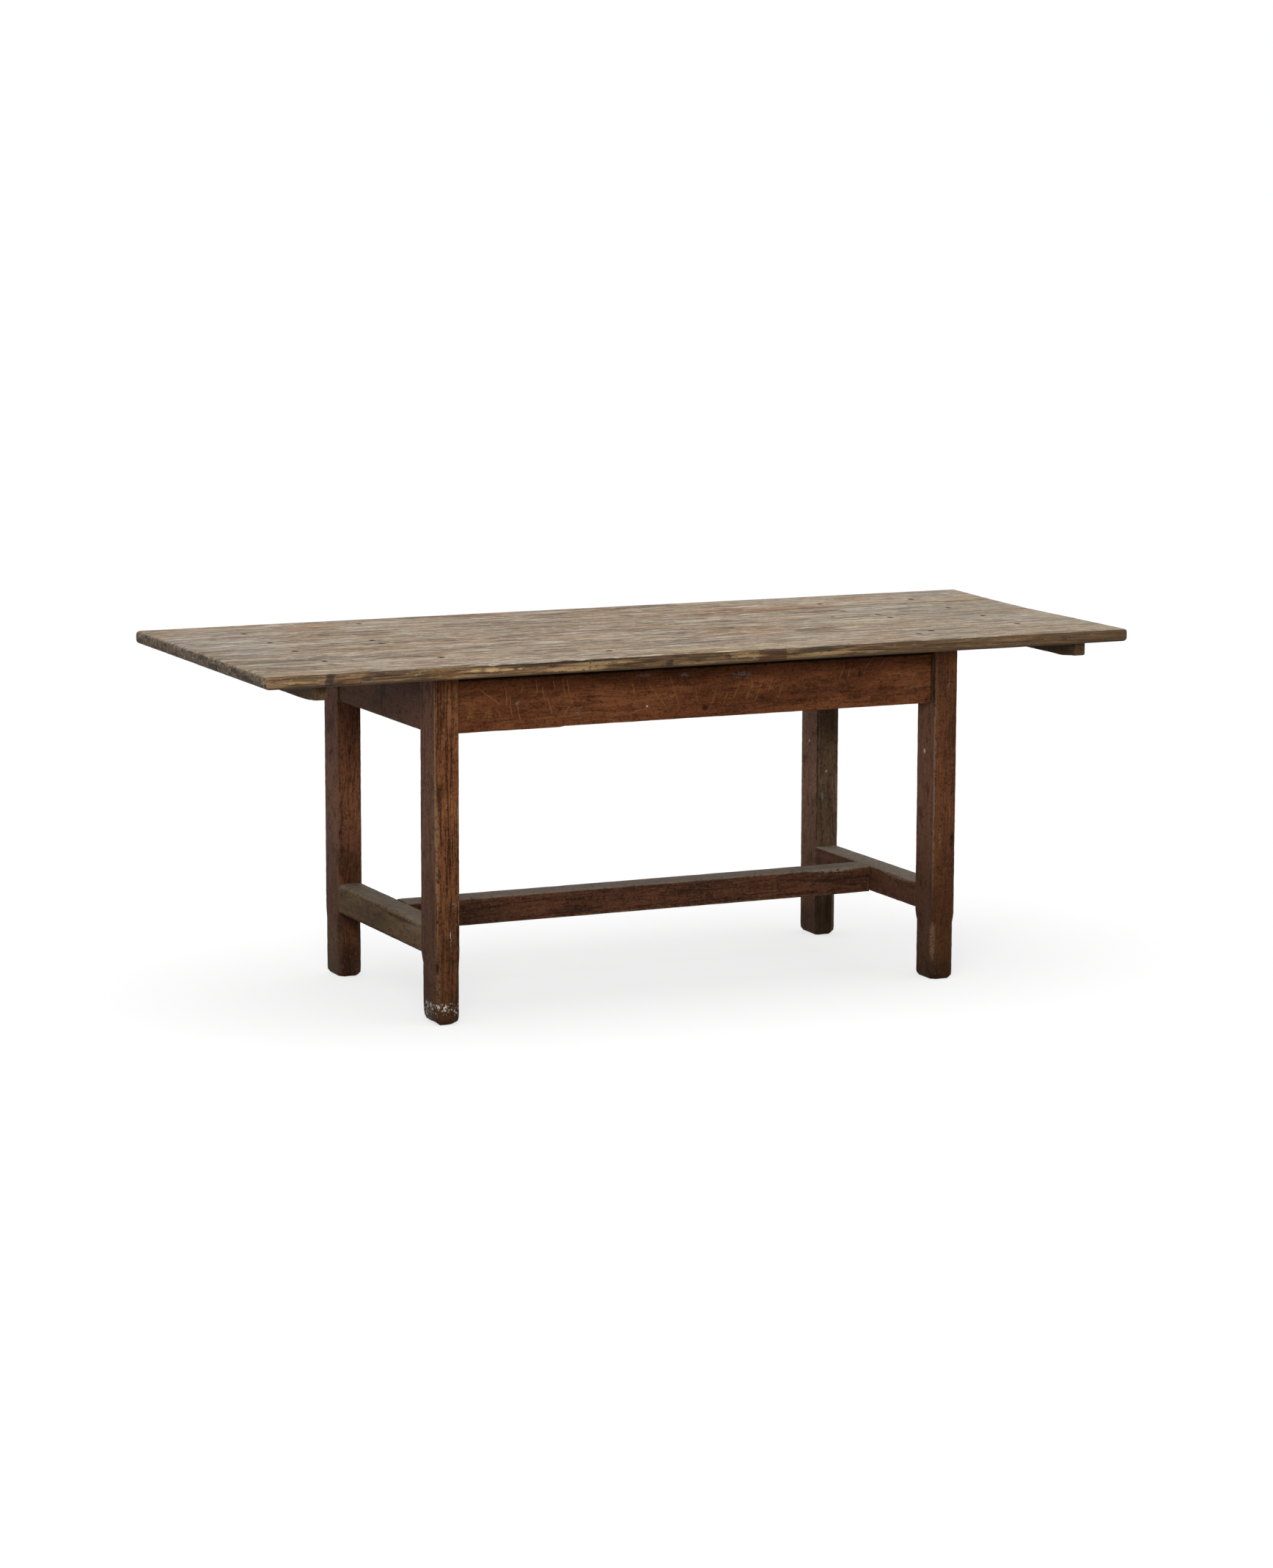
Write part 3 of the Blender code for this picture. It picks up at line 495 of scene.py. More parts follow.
# Each leg's four tones, its painted sheen colour on the faces along X, how dark its grain is and how far that
# strays.
LEG_WOODS = {
    "leg_front_right": ((114, 71, 47), (133, 84, 53), (57, 33, 23), (128, 101, 74),
                        (140, 99, 79), 0.35, 0.004),
    "leg_front_left": ((122, 74, 46), (150, 95, 61), (42, 24, 15), (146, 112, 78),
                       (132, 95, 78), 0.75, 0.003),
    "leg_back_right": ((132, 104, 80), (154, 123, 95), (56, 42, 32), (140, 120, 96),
                       (174, 129, 109), 0.45, 0.006),
    "leg_back_left": ((127, 81, 59), (154, 99, 68), (46, 29, 20), (134, 106, 80),
                      (144, 105, 89), 0.5, 0.012),
}
LEG_MARKS = {
    "leg_front_right": (
        ((0.5622, -0.3107, 0.46), (0.0028, 0.0035, 0.27), ROSE_GREY, 0.95, 0.2),
        ((0.5665, -0.3082, 0.085), (0.005, 0.009, 0.05), TAN, 0.6, 0.6),
        ((0.579, -0.3107, 0.32), (0.003, 0.004, 0.03), TAN, 0.45, 0.5),
        ((0.5605, -0.267, 0.5025), (0.004, 0.004, 0.005), PAINT, 0.85, 0),
        ((0.608, -0.3107, 0.312), (0.006, 0.005, 0.018), GRIME_AND_SHADE, 0.9, 0.6),
        ((0.5956, -0.3107, 0.653), (0.003, 0.004, 0.012), TAN, 0.6, 0.5),
        # Painted shadow: a dark strip down the leg's face towards the rail, where it stands proud of the
        # rail.
        ((0.5605, -0.3072, 0.66), (0.003, 0.008, 0.075), GRIME_AND_SHADE, 0.75, 0),
        ((0.58, -0.3, 0.02), (0.04, 0.02, 0.03), GRIME_AND_SHADE, 0.45, 0.4),
    ),
    "leg_front_left": (
        ((-0.615, -0.3105, 0.59), (0.002, 0.003, 0.15), TAN, 0.9, 0.3),
        ((-0.6145, -0.3103, 0.49), (0.0028, 0.003, 0.06), TAN, 0.95, 0.3),
        ((-0.613, -0.3102, 0.44), (0.005, 0.004, 0.05), TAN, 0.85, 0.2),
        ((-0.612, -0.3102, 0.4), (0.0065, 0.006, 0.03), TAN, 0.85, 0.3),
        ((-0.61, -0.3102, 0.33), (0.0024, 0.004, 0.08), TAN, 0.85, 0.5),
        ((-0.608, -0.3102, 0.24), (0.0018, 0.004, 0.09), TAN, 0.8, 0.5),
        ((-0.611, -0.3092, 0.16), (0.008, 0.01, 0.06), (100, 80, 58), 0.55, 0.7),
        ((-0.606, -0.3092, 0.085), (0.004, 0.01, 0.04), TAN, 0.45, 0.7),
        ((-0.608, -0.3072, 0.125), (0.0035, 0.006, 0.014), GRIME_AND_SHADE, 0.8, 0.2),
        ((-0.588, -0.2727, 0.04), (0.06, 0.06, 0.009), PAINT, 1.0, 1.1),
        ((-0.588, -0.2727, 0.034), (0.06, 0.06, 0.018), PAINT, 0.85, 1.5),
        ((-0.613, -0.255, 0.024), (0.01, 0.034, 0.018), PAINT, 0.8, 1.1),
        ((-0.57, -0.3107, 0.255), (0.012, 0.004, 0.004), (120, 112, 106), 0.55, 0.8),
        ((-0.579, -0.3107, 0.185), (0.0015, 0.004, 0.016), PAINT, 0.5, 0.6),
    ),
    "leg_back_right": (
        ((0.5605, 0.2717, 0.449), (0.004, 0.004, 0.005), PAINT, 0.85, 0),
        ((0.5755, 0.2336, 0.3238), (0.003, 0.004, 0.01), (140, 140, 146), 0.75, 0.4),
        ((0.586, 0.2336, 0.3828), (0.003, 0.004, 0.003), PAINT, 0.65, 0),
        ((0.5605, 0.3, 0.52), (0.004, 0.014, 0.09), DUST, 0.3, 0.5),
        ((0.59, 0.2336, 0.54), (0.03, 0.004, 0.11), (48, 37, 26), 0.6, 0),
        ((0.5625, 0.2336, 0.4), (0.0022, 0.004, 0.3), GRIME_AND_SHADE, 0.7, 0.3),
    ),
    "leg_back_left": (
        ((-0.576, 0.235, 0.028), (0.012, 0.012, 0.018), TAN, 0.25, 0.7),
        ((-0.613, 0.27, 0.02), (0.01, 0.05, 0.02), (88, 74, 56), 0.6, 0),
        ((-0.6155, 0.2741, 0.495), (0.003, 0.006, 0.007), GRIME_AND_SHADE, 0.85, 0.4),
        ((-0.5865, 0.2336, 0.5035), (0.005, 0.004, 0.014), GRIME_AND_SHADE, 0.6, 0.4),
        ((-0.5808, 0.2336, 0.24), (0.018, 0.004, 0.045), GRIME_AND_SHADE, 0.45, 0.4),
        ((-0.614, 0.235, 0.63), (0.003, 0.004, 0.02), TAN, 0.8, 0.2),
        ((-0.6155, 0.27, 0.075), (0.004, 0.05, 0.06), (112, 92, 68), 0.55, 0.5),
        ((-0.59, 0.2336, 0.03), (0.03, 0.006, 0.05), GRIME_AND_SHADE, 0.62, 0.4),
    ),
}
for number, (node, piece) in enumerate(posts.items()):
    low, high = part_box(node)
    *tones, side, lines, wander = LEG_WOODS[node]
    middle = (low + high) / 2
    # Each leg is painted darker towards its foot, and darker and greyer again just above the floor.
    darker_low = ((middle.x, middle.y, 0.0), (0.1, 0.1, 0.34), (48, 32, 19), 0.52, 0)
    darker_foot = ((middle.x, middle.y, 0.0), (0.1, 0.1, 0.07), (58, 46, 30), 0.45, 0.2)
    piece.data.materials.append(stained_wood(
        node + "_wood", 2, low, high, 3.1 + 5.7 * number, tones, side, lines, wander,
        marks=(darker_low, darker_foot, *LEG_MARKS[node]),
    ))


# Rails
# Four hardwood boards on edge tie the legs together under the top, tenoned into them and pegged. They are
# flat sawn, so their grain swirls, and knives and knocks have cut through the front one's stain.
RAIL_STEP = 0.008
RAIL_ARRIS = 0.0015
RAIL_SHALLOW_FROM = -0.325
RAIL_SHALLOW_BY = 0.0015
RAIL_FACE = -0.301
JOINT_GAP = 0.0003
RAIL_ROW = 0.021
TOP_SHADOW = 0.05
SHADOW_LINE_DEPTH = 0.0145

SCRATCH = (148, 102, 60)
CHALK = (170, 142, 122)
SCUFF = (112, 104, 102)
# Plain knife scratches and chalky ones, each from one place on the face to another, along X and Z.
FRONT_RAIL_SCRATCHES = (
    (-0.508, 0.7, -0.466, 0.668), (-0.492, 0.655, -0.487, 0.638), (-0.474, 0.662, -0.462, 0.64),
    (-0.452, 0.704, -0.448, 0.662), (-0.441, 0.684, -0.437, 0.634), (-0.428, 0.672, -0.417, 0.629),
    (-0.411, 0.706, -0.415, 0.688), (-0.382, 0.716, -0.38, 0.684), (-0.368, 0.7, -0.363, 0.668),
    (-0.356, 0.676, -0.346, 0.64), (-0.343, 0.712, -0.339, 0.69), (-0.322, 0.715, -0.316, 0.678),
    (-0.312, 0.713, -0.306, 0.676), (-0.3, 0.664, -0.319, 0.634), (-0.16, 0.694, -0.155, 0.668),
    (-0.122, 0.69, -0.081, 0.64), (-0.073, 0.706, -0.052, 0.64), (-0.012, 0.678, -0.008, 0.646),
    (0.038, 0.676, 0.024, 0.64), (0.062, 0.664, 0.053, 0.64), (0.094, 0.69, 0.076, 0.65),
    (0.119, 0.676, 0.107, 0.644), (0.146, 0.688, 0.128, 0.64), (0.171, 0.692, 0.159, 0.658),
    (0.196, 0.68, 0.183, 0.644),
)
FRONT_RAIL_CHALK = (
    (0.3435, 0.712, 0.3365, 0.69), (0.3375, 0.697, 0.329, 0.676), (0.357, 0.701, 0.35, 0.68),
    (0.406, 0.714, 0.39, 0.692), (0.448, 0.681, 0.486, 0.683), (0.5, 0.694, 0.493, 0.677),
    (0.518, 0.684, 0.509, 0.666), (-0.158, 0.6365, -0.126, 0.6385), (-0.076, 0.661, -0.06, 0.6625),
    (-0.024, 0.652, -0.008, 0.653), (0.43, 0.7, 0.442, 0.716), (-0.428, 0.668, -0.418, 0.67),
)
# Spots along X and Z, with their half sizes, a colour, a strength and how much has flaked off.
FRONT_RAIL_SPOTS = (
    (-0.4253, 0.6672, 0.006, 0.004, SCUFF, 0.9, 0), (-0.038, 0.706, 0.012, 0.005, SCUFF, 0.75, 0.7),
    (-0.136, 0.71, 0.02, 0.004, SCUFF, 0.6, 0.7), (0.095, 0.7, 0.024, 0.007, SCUFF, 0.75, 0.7),
    (-0.126, 0.645, 0.002, 0.002, PAINT, 0.95, 0), (0.0095, 0.6334, 0.007, 0.007, GRIME_AND_SHADE, 0.8, 0),
    (-0.286, 0.6393, 0.008, 0.008, SCUFF, 0.55, 0.7), (-0.49, 0.648, 0.012, 0.01, SCRATCH, 0.55, 0.7),
    (-0.533, 0.648, 0.014, 0.01, SCRATCH, 0.45, 0.7), (0.12, 0.678, 0.003, 0.014, SCRATCH, 0.6, 0),
    # Painted shade: a dark strip down the rail's face where it meets the front right leg.
    (0.558, 0.67, 0.004, 0.07, GRIME_AND_SHADE, 0.7, 0),
)
FRONT_RAIL_MARKS = [
    ((x, RAIL_FACE, z), (rx, 0.004, rz), shade, strength, flaked)
    for x, z, rx, rz, shade, strength, flaked in FRONT_RAIL_SPOTS
]
FRONT = (0, 1, 0)
FRONT_RAIL_CUTS = [
    ((x1, RAIL_FACE, z1), (x2, RAIL_FACE, z2), width, FRONT, shade, strength)
    for lines, width, shade, strength in (
        (FRONT_RAIL_SCRATCHES, 0.0012, SCRATCH, 0.9), (FRONT_RAIL_CHALK, 0.0006, CHALK, 0.7),
    )
    for x1, z1, x2, z2 in lines
]
END_RAIL_MARKS = (
    ((-0.6105, -0.025, 0.69), (0.004, 0.012, 0.045), GRIME_AND_SHADE, 0.85, 0.5),
    ((-0.6105, -0.01, 0.65), (0.004, 0.008, 0.04), GRIME_AND_SHADE, 0.6, 0.4),
    ((-0.6105, 0.08, 0.72), (0.004, 0.12, 0.01), GRIME_AND_SHADE, 0.45, 0.5),
    ((-0.6105, -0.2296, 0.69), (0.004, 0.005, 0.006), SCUFF, 0.8, 0),
)
RAIL_TONES = (118, 68, 42), (142, 87, 54), (53, 30, 19), (132, 96, 64)
END_RAIL_TONES = (102, 68, 49), (118, 80, 58), (50, 33, 25), (118, 88, 64)
# The painted sheen on the rails' faces along X.
RAIL_SIDE_SHEEN = (119, 85, 70)
# The axis each rail runs along, its tones, how dark its grain is, how far that strays, its marks and cuts.
RAILS = {
    "front_rail": (0, RAIL_TONES, 0.36, 0.01, FRONT_RAIL_MARKS, FRONT_RAIL_CUTS),
    "back_rail": (0, RAIL_TONES, 0.55, 0.012, (), ()),
    "end_rail_left": (1, END_RAIL_TONES, 0.5, 0.006, END_RAIL_MARKS, ()),
    "end_rail_right": (1, END_RAIL_TONES, 0.5, 0.006, (), ()),
}
# The painted shade under the top, and the near black of the painted shadow line below it.
TOP_SHADE = (60, 24, 8)
SHADOW_LINE_DARK = (10, 7, 5)


def between_legs(node, axis):
    """The corners of a rail or stretcher without its tenons."""
    low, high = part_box(node)
    inner = leg_low[0] if axis == 0 else -leg_high[1]
    low[axis] = -inner + JOINT_GAP
    high[axis] = inner - JOINT_GAP
    return low, high


for number, (node, (axis, tones, lines, wander, marks, cuts)) in enumerate(RAILS.items()):
    low, high = between_legs(node, axis)
    piece = block(node + "_board", low, high)
    cut_evenly(piece, axis, RAIL_STEP)
    cut_evenly(piece, 2, RAIL_ROW)
    if node == "front_rail":
        shift(piece, (0, 0, RAIL_SHALLOW_BY), lambda vert: (
            vert.co.z < low.z + CLOSE and vert.co.x > RAIL_SHALLOW_FROM
        ))
    pick(piece, "edges", lambda edge: runs_along(edge, axis) and middle_of(edge).z < low.z + 0.002)
    bpy.ops.mesh.bevel(offset=RAIL_ARRIS, segments=2, affect="EDGES")
    weather(piece, dent_size=0.08, dent_depth=0.0005, knock_size=0.02, knock_depth=0.001)
    middle = (low + high) / 2
    # Painted shade: each rail darkens towards the top, which overhangs and shades it, and a near-black
    # painted shadow line lies a little below its top edge.
    overhang_shade = ((middle.x, middle.y, high.z), (2.0, 2.0, TOP_SHADOW), TOP_SHADE, 0.45, 0)
    shadow_line = ((middle.x, middle.y, high.z - SHADOW_LINE_DEPTH), (2.0, 2.0, 0.0055), SHADOW_LINE_DARK, 0.95, 0)
    piece.data.materials.append(stained_wood(
        node + "_wood", axis, low, high, 17.3 + 4.1 * number, tones, RAIL_SIDE_SHEEN, lines, wander,
        wear=0.55, marks=(overhang_shade, shadow_line, *marks), cuts=cuts,
    ))
    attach(piece, "root")
    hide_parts(node)


# Stretchers
# A hardwood bar ties the two legs of each end and a third one joins these two, all tenoned without pegs.
# Feet have rubbed their stain off and worn the left one round along its outer upper arris.
STRETCHER_STEP = 0.007
STRETCHER_ROW = 0.02
STRETCHER_COLUMN = 0.017
STRETCHER_LOW_ARRIS = 0.002
# The axis each bar runs along, the rounding of its two upper arrises, its dust, its four tones, its painted
# sheen colour on the faces along X, how dark its grain is, and its marks.
STRETCHERS = {
    "end_stretcher_left": (1, (0.01, 0.003), 0.45, (
        (118, 97, 73), (138, 115, 89), (54, 42, 31), (140, 120, 95)
    ), (121, 94, 66), 0.85, (
        ((-0.6, -0.19, 0.204), (0.03, 0.06, 0.03), (134, 118, 98), 0.65, 0.3),
        ((-0.614, -0.12, 0.196), (0.006, 0.1, 0.004), GRIME_AND_SHADE, 0.7, 0.3),
        ((-0.612, 0.06, 0.17), (0.006, 0.17, 0.02), (74, 58, 42), 0.6, 0.5),
        # Painted shadow along the lower arris of the bar's outer face.
        ((-0.614, 0.0, 0.1475), (0.01, 0.24, 0.004), GRIME_AND_SHADE, 0.8, 0.2),
    )),
    "end_stretcher_right": (1, (0.005, 0.003), 1.0, (
        (106, 72, 54), (122, 82, 60), (50, 34, 25), (130, 108, 86)
    ), (109, 73, 55), 0.5, (
        ((0.562, -0.15, 0.206), (0.004, 0.07, 0.006), DUST, 0.6, 0.5),
        ((0.562, -0.1, 0.152), (0.006, 0.15, 0.002), TAN, 0.7, 0.4),
    )),
    "long_stretcher": (0, (0.006, 0.003), 0.75, (
        (95, 61, 45), (116, 73, 52), (42, 28, 21), (124, 102, 78)
    ), (96, 60, 44), 0.55, (
        ((0.1, -0.028, 0.151), (0.48, 0.006, 0.0022), TAN, 0.65, 0.5),
        ((0.47, -0.028, 0.205), (0.06, 0.006, 0.005), DUST, 0.75, 0.4),
    )),
}
for number, (node, (axis, arrises, dust, tones, side, lines, marks)) in enumerate(STRETCHERS.items()):
    low, high = between_legs(node, axis)
    piece = block(node + "_bar", low, high)
    cut_evenly(piece, axis, STRETCHER_STEP)
    cut_evenly(piece, 2, STRETCHER_ROW)
    across = 1 - axis
    cut_evenly(piece, across, STRETCHER_COLUMN)
    for edge_side, edge_height, offset in (
        (low[across], high.z, arrises[0]), (high[across], high.z, arrises[1]),
        (low[across], low.z, STRETCHER_LOW_ARRIS), (high[across], low.z, STRETCHER_LOW_ARRIS),
    ):
        pick(piece, "edges", lambda edge: (
            runs_along(edge, axis)
            and abs(middle_of(edge).z - edge_height) < CLOSE
            and abs(middle_of(edge)[across] - edge_side) < CLOSE
        ))
        bpy.ops.mesh.bevel(offset=offset, segments=3, affect="EDGES")
    weather(piece, dent_size=0.05, dent_depth=0.001, knock_size=0.014, knock_depth=0.002)
    piece.data.materials.append(stained_wood(
        node + "_wood", axis, low, high, 31.9 + 6.3 * number, tones, side, lines, 0.006,
        dust=dust, marks=marks,
    ))
    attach(piece, "root")
    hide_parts(node)


# Pegs
# Split wooden pegs, two to a joint, are driven through the legs and each rail's tenons. Their ends show
# end grain, darkened with the frame.


def finish_all(word, finish):
    """Gives every piece that has the word in its name a finish."""
    for node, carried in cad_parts.items():
        if word in node:
            carried.data.materials.clear()
            carried.data.materials.append(finish)


peg_finish, shader, place = new_finish("peg_end_wood")
rings = place.noise((700, 700, 700))
feed(
    shader,
    Base_Color=rings.ease(0.4, 0.62).between((66, 44, 31), (116, 88, 66)),
    Roughness=0.55 + 0.2 * rings,
    Specular_IOR_Level=0.03,
)
finish_all("_peg_", peg_finish)


# Top
# Four old pine planks lie side by side, nailed to the frame, scrubbed and dried until their hard grain
# stands up. Their ends and front edge are knocked round, and the right end was sawn unevenly.
PLANK_STEP = 0.012
FRONT_PLANK_STEP = 0.005
END_ROUND = 0.0095
CORNER_ROUND = 0.0065
FRONT_ROUND = 0.005
# Where the right end is sawn, at the front, at each seam and at the back.
RIGHT_END = (0.9928, 0.9915, 0.9866, 0.9965, 1.013)
HEAD_HOLE = 0.0053
HEAD_HOLE_DEPTH = 0.006
BROKEN_FROM, BROKEN_TO = -0.67, -0.3
BROKEN_ABOVE = 0.757
BROKEN_BEFORE = -0.39
TOP_SAG = 0.0007
TOP_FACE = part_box("top_board_1")[1].z
FRONT_EDGE = -0.3975
# A mark on the face goes on through the whole thickness.
MARK_HEIGHT = 0.75
MARK_DEPTH = 0.2

ORANGE = (152, 112, 76)
OCHRE = (158, 130, 92)
PINK = (159, 131, 110)
SILVER = (164, 156, 146)
GREY = (112, 102, 92)
BROWN = (124, 98, 74)
PALE = (178, 162, 136)
# A dark grey for soot and dirt marks, also used for painted shade along the front edge's upper arris.
SOOT_AND_SHADE = (50, 42, 36)
# Near black for the stains round nail heads, also used for a painted shadow line along the front edge's top.
NAIL_STAIN_AND_SHADOW = (20, 16, 14)
# Broad patches and small spots on the face, each a place along X and Y, two half sizes, a colour and a
# strength.
TOP_PATCHES = (
    (0.37, 0.218, 0.26, 0.04, ORANGE, 0.6), (0.33, 0.165, 0.3, 0.035, BROWN, 0.4),
    (-0.643, 0.29, 0.075, 0.022, ORANGE, 0.6), (-0.24, 0.205, 0.14, 0.036, BROWN, 0.6),
    (0.1, 0.32, 0.05, 0.02, OCHRE, 0.5), (0.459, -0.294, 0.05, 0.07, ORANGE, 0.45),
    (-0.632, -0.32, 0.16, 0.035, PINK, 0.5), (-0.826, 0.119, 0.05, 0.01, OCHRE, 0.55),
    (0.918, 0.185, 0.045, 0.045, OCHRE, 0.55), (0.05, -0.36, 0.28, 0.028, OCHRE, 0.5),
    (0.84, -0.325, 0.13, 0.03, OCHRE, 0.5), (-0.32, -0.055, 0.33, 0.055, PINK, 0.5),
    (0.12, -0.22, 0.12, 0.07, PINK, 0.5), (0.5, -0.05, 0.12, 0.045, PALE, 0.55),
    (-0.9, 0.15, 0.13, 0.2, SILVER, 0.5), (-0.9, -0.05, 0.07, 0.04, SILVER, 0.5),
    (-0.86, -0.175, 0.16, 0.035, GREY, 0.65), (0.82, -0.035, 0.11, 0.02, GREY, 0.6),
    (0.65, 0.14, 0.08, 0.03, SILVER, 0.6), (-0.1, 0.345, 0.1, 0.03, SILVER, 0.6),
    (0.9, 0.33, 0.09, 0.03, SILVER, 0.5), (0.575, 0.325, 0.07, 0.015, GREY, 0.6),
    (-0.48, -0.372, 0.28, 0.02, SILVER, 0.65),
)
TOP_SPOTS = (
    (0.326, -0.146, 0.022, 0.022, GREY, 0.85), (0.343, -0.075, 0.02, 0.012, GREY, 0.5),
    (-0.527, 0.325, 0.0075, 0.011, NAIL_STAIN_AND_SHADOW, 0.95), (-0.54, 0.343, 0.014, 0.008, SOOT_AND_SHADE, 0.55),
    (0.1975, -0.0475, 0.006, 0.012, SOOT_AND_SHADE, 0.9), (0.4925, 0.035, 0.005, 0.01, SOOT_AND_SHADE, 0.8),
    (0.5625, 0.12, 0.008, 0.01, SOOT_AND_SHADE, 0.7), (0.52, 0.14, 0.03, 0.01, SOOT_AND_SHADE, 0.5),
    (0.497, 0.126, 0.012, 0.012, SOOT_AND_SHADE, 0.55), (0.55, 0.14, 0.016, 0.012, SOOT_AND_SHADE, 0.5),
    (0.33, -0.152, 0.036, 0.012, SOOT_AND_SHADE, 0.45), (0.485, -0.237, 0.04, 0.008, BROWN, 0.8),
    (0.918, 0.187, 0.06, 0.009, SOOT_AND_SHADE, 0.4), (0.455, 0.215, 0.06, 0.02, ORANGE, 0.5),
    (-0.245, 0.122, 0.018, 0.01, SOOT_AND_SHADE, 0.7), (-0.103, 0.02, 0.046, 0.0055, SOOT_AND_SHADE, 0.55),
    (-0.277, -0.073, 0.007, 0.012, SOOT_AND_SHADE, 0.45), (-0.286, 0.3665, 0.034, 0.005, SOOT_AND_SHADE, 0.6),
    (-0.955, 0.009, 0.065, 0.006, SOOT_AND_SHADE, 0.6), (-0.94, -0.118, 0.08, 0.007, SOOT_AND_SHADE, 0.55),
    (-0.9, -0.1875, 0.11, 0.008, SOOT_AND_SHADE, 0.55), (-0.6615, -0.076, 0.03, 0.007, SOOT_AND_SHADE, 0.7),
    (-0.625, -0.0065, 0.032, 0.007, SOOT_AND_SHADE, 0.75), (-0.822, -0.272, 0.012, 0.016, SOOT_AND_SHADE, 0.5),
    (-0.778, -0.3465, 0.014, 0.01, PALE, 0.75), (-0.48, -0.29, 0.04, 0.008, PALE, 0.6),
)
# Scratches on the face, each from one place to another, along X and Y, and its colour.
TOP_SCRATCHES = (
    (0.106, 0.04, 0.098, -0.06, PALE), (0.24, 0.0, 0.228, -0.11, PALE),
    (-0.249, 0.1, -0.243, 0.012, SOOT_AND_SHADE), (0.815, -0.1, 0.8115, -0.14, SOOT_AND_SHADE),
    (0.8115, -0.14, 0.813, -0.22, SOOT_AND_SHADE), (0.828, -0.14, 0.812, -0.15, SOOT_AND_SHADE),
    (-0.43, -0.3, -0.38, -0.27, PALE), (0.64, -0.12, 0.7, -0.08, PALE),
    (-0.065, 0.211, -0.074, 0.092, PALE),
)
FLAKE = (200, 166, 120)
# The front edge's tones along X, each from one place to the next, then darker patches over them.
EDGE_STRETCHES = (
    (-1.03, -0.885, (138, 111, 80), 0.75), (-0.887, -0.868, (66, 54, 44), 0.85),
    (-0.868, -0.8, (114, 83, 57), 0.75), (-0.8, -0.66, (98, 75, 54), 0.75),
    (-0.66, -0.6, (124, 90, 52), 0.65), (-0.6, -0.49, (118, 89, 60), 0.65),
    (-0.49, -0.32, (114, 84, 56), 0.7), (-0.32, -0.13, (118, 91, 61), 0.65),
    (-0.1, 0.085, (124, 98, 68), 0.65), (0.085, 0.154, (92, 58, 38), 0.92),
    (0.154, 0.305, (124, 99, 68), 0.65), (0.305, 1.02, (114, 88, 62), 0.75),
)
EDGE_PATCHES = (
    (-0.886, -0.869, (56, 46, 38), 0.6), (0.086, 0.153, (78, 50, 34), 0.58),
    (0.33, 1.02, (106, 82, 58), 0.4),
)
# Spots on the front edge along X and Z, with their half sizes, and cracks from one place to another.
EDGE_SPOTS = (
    (-0.8, 0.751, 0.013, 0.006, SOOT_AND_SHADE, 0.65), (-0.91, 0.7425, 0.075, 0.0018, SOOT_AND_SHADE, 0.8),
    # The first spot below is a painted shadow line along the top of the front edge.
    (-0.36, 0.7618, 0.26, 0.002, NAIL_STAIN_AND_SHADOW, 0.95), (-0.121, 0.747, 0.009, 0.009, SOOT_AND_SHADE, 0.95),
    (-0.155, 0.756, 0.025, 0.004, SOOT_AND_SHADE, 0.6), (0.225, 0.76, 0.05, 0.004, SOOT_AND_SHADE, 0.75),
    (0.35, 0.755, 0.04, 0.004, SOOT_AND_SHADE, 0.45), (-0.2, 0.745, 0.04, 0.002, SOOT_AND_SHADE, 0.45),
    (0.0, 0.748, 0.012, 0.006, BROWN, 0.7), (-0.41, 0.759, 0.09, 0.0022, SOOT_AND_SHADE, 0.75),
    (-0.563, 0.754, 0.018, 0.0026, FLAKE, 0.8), (-0.523, 0.7541, 0.016, 0.0044, FLAKE, 1.0),
    (-0.4915, 0.7535, 0.018, 0.0026, FLAKE, 0.85), (-0.456, 0.7538, 0.015, 0.0022, FLAKE, 0.75),
    (-0.335, 0.747, 0.075, 0.0055, FLAKE, 0.65), (-0.275, 0.7555, 0.085, 0.0034, FLAKE, 0.45),
    (-0.96, 0.75, 0.04, 0.003, FLAKE, 0.45), (0.06, 0.753, 0.05, 0.003, FLAKE, 0.45),
    (0.255, 0.75, 0.06, 0.004, FLAKE, 0.45), (0.35, 0.748, 0.04, 0.003, FLAKE, 0.35),
)
EDGE_CRACKS = (
    (-1.006, 0.753, -0.985, 0.759), (-0.985, 0.759, -0.95, 0.7605), (-0.95, 0.7605, -0.895, 0.759),
    (-1.0, 0.7515, -0.965, 0.747), (-0.965, 0.747, -0.9, 0.746), (-0.962, 0.755, -0.905, 0.7535),
    (-0.69, 0.751, -0.64, 0.7545), (-0.64, 0.7545, -0.592, 0.7578), (-0.7, 0.7475, -0.655, 0.75),
    (-0.655, 0.75, -0.6, 0.7545), (-0.785, 0.7545, -0.72, 0.755), (-0.59, 0.75, -0.5, 0.749),
    (-0.48, 0.756, -0.4, 0.757), (-0.23, 0.75, -0.15, 0.753), (-0.08, 0.756, 0.02, 0.758),
    (-0.06, 0.748, 0.06, 0.75), (0.17, 0.756, 0.26, 0.755), (0.3, 0.753, 0.42, 0.75),
    (0.48, 0.754, 0.6, 0.756), (0.66, 0.75, 0.78, 0.753),
)


def marks_on(low, high, marks):
    """The marks that reach a plank: each fades out a little past its half size."""
    return [mark for mark in marks if low.y - mark[3] * 1.3 < mark[1] < high.y + mark[3] * 1.3]


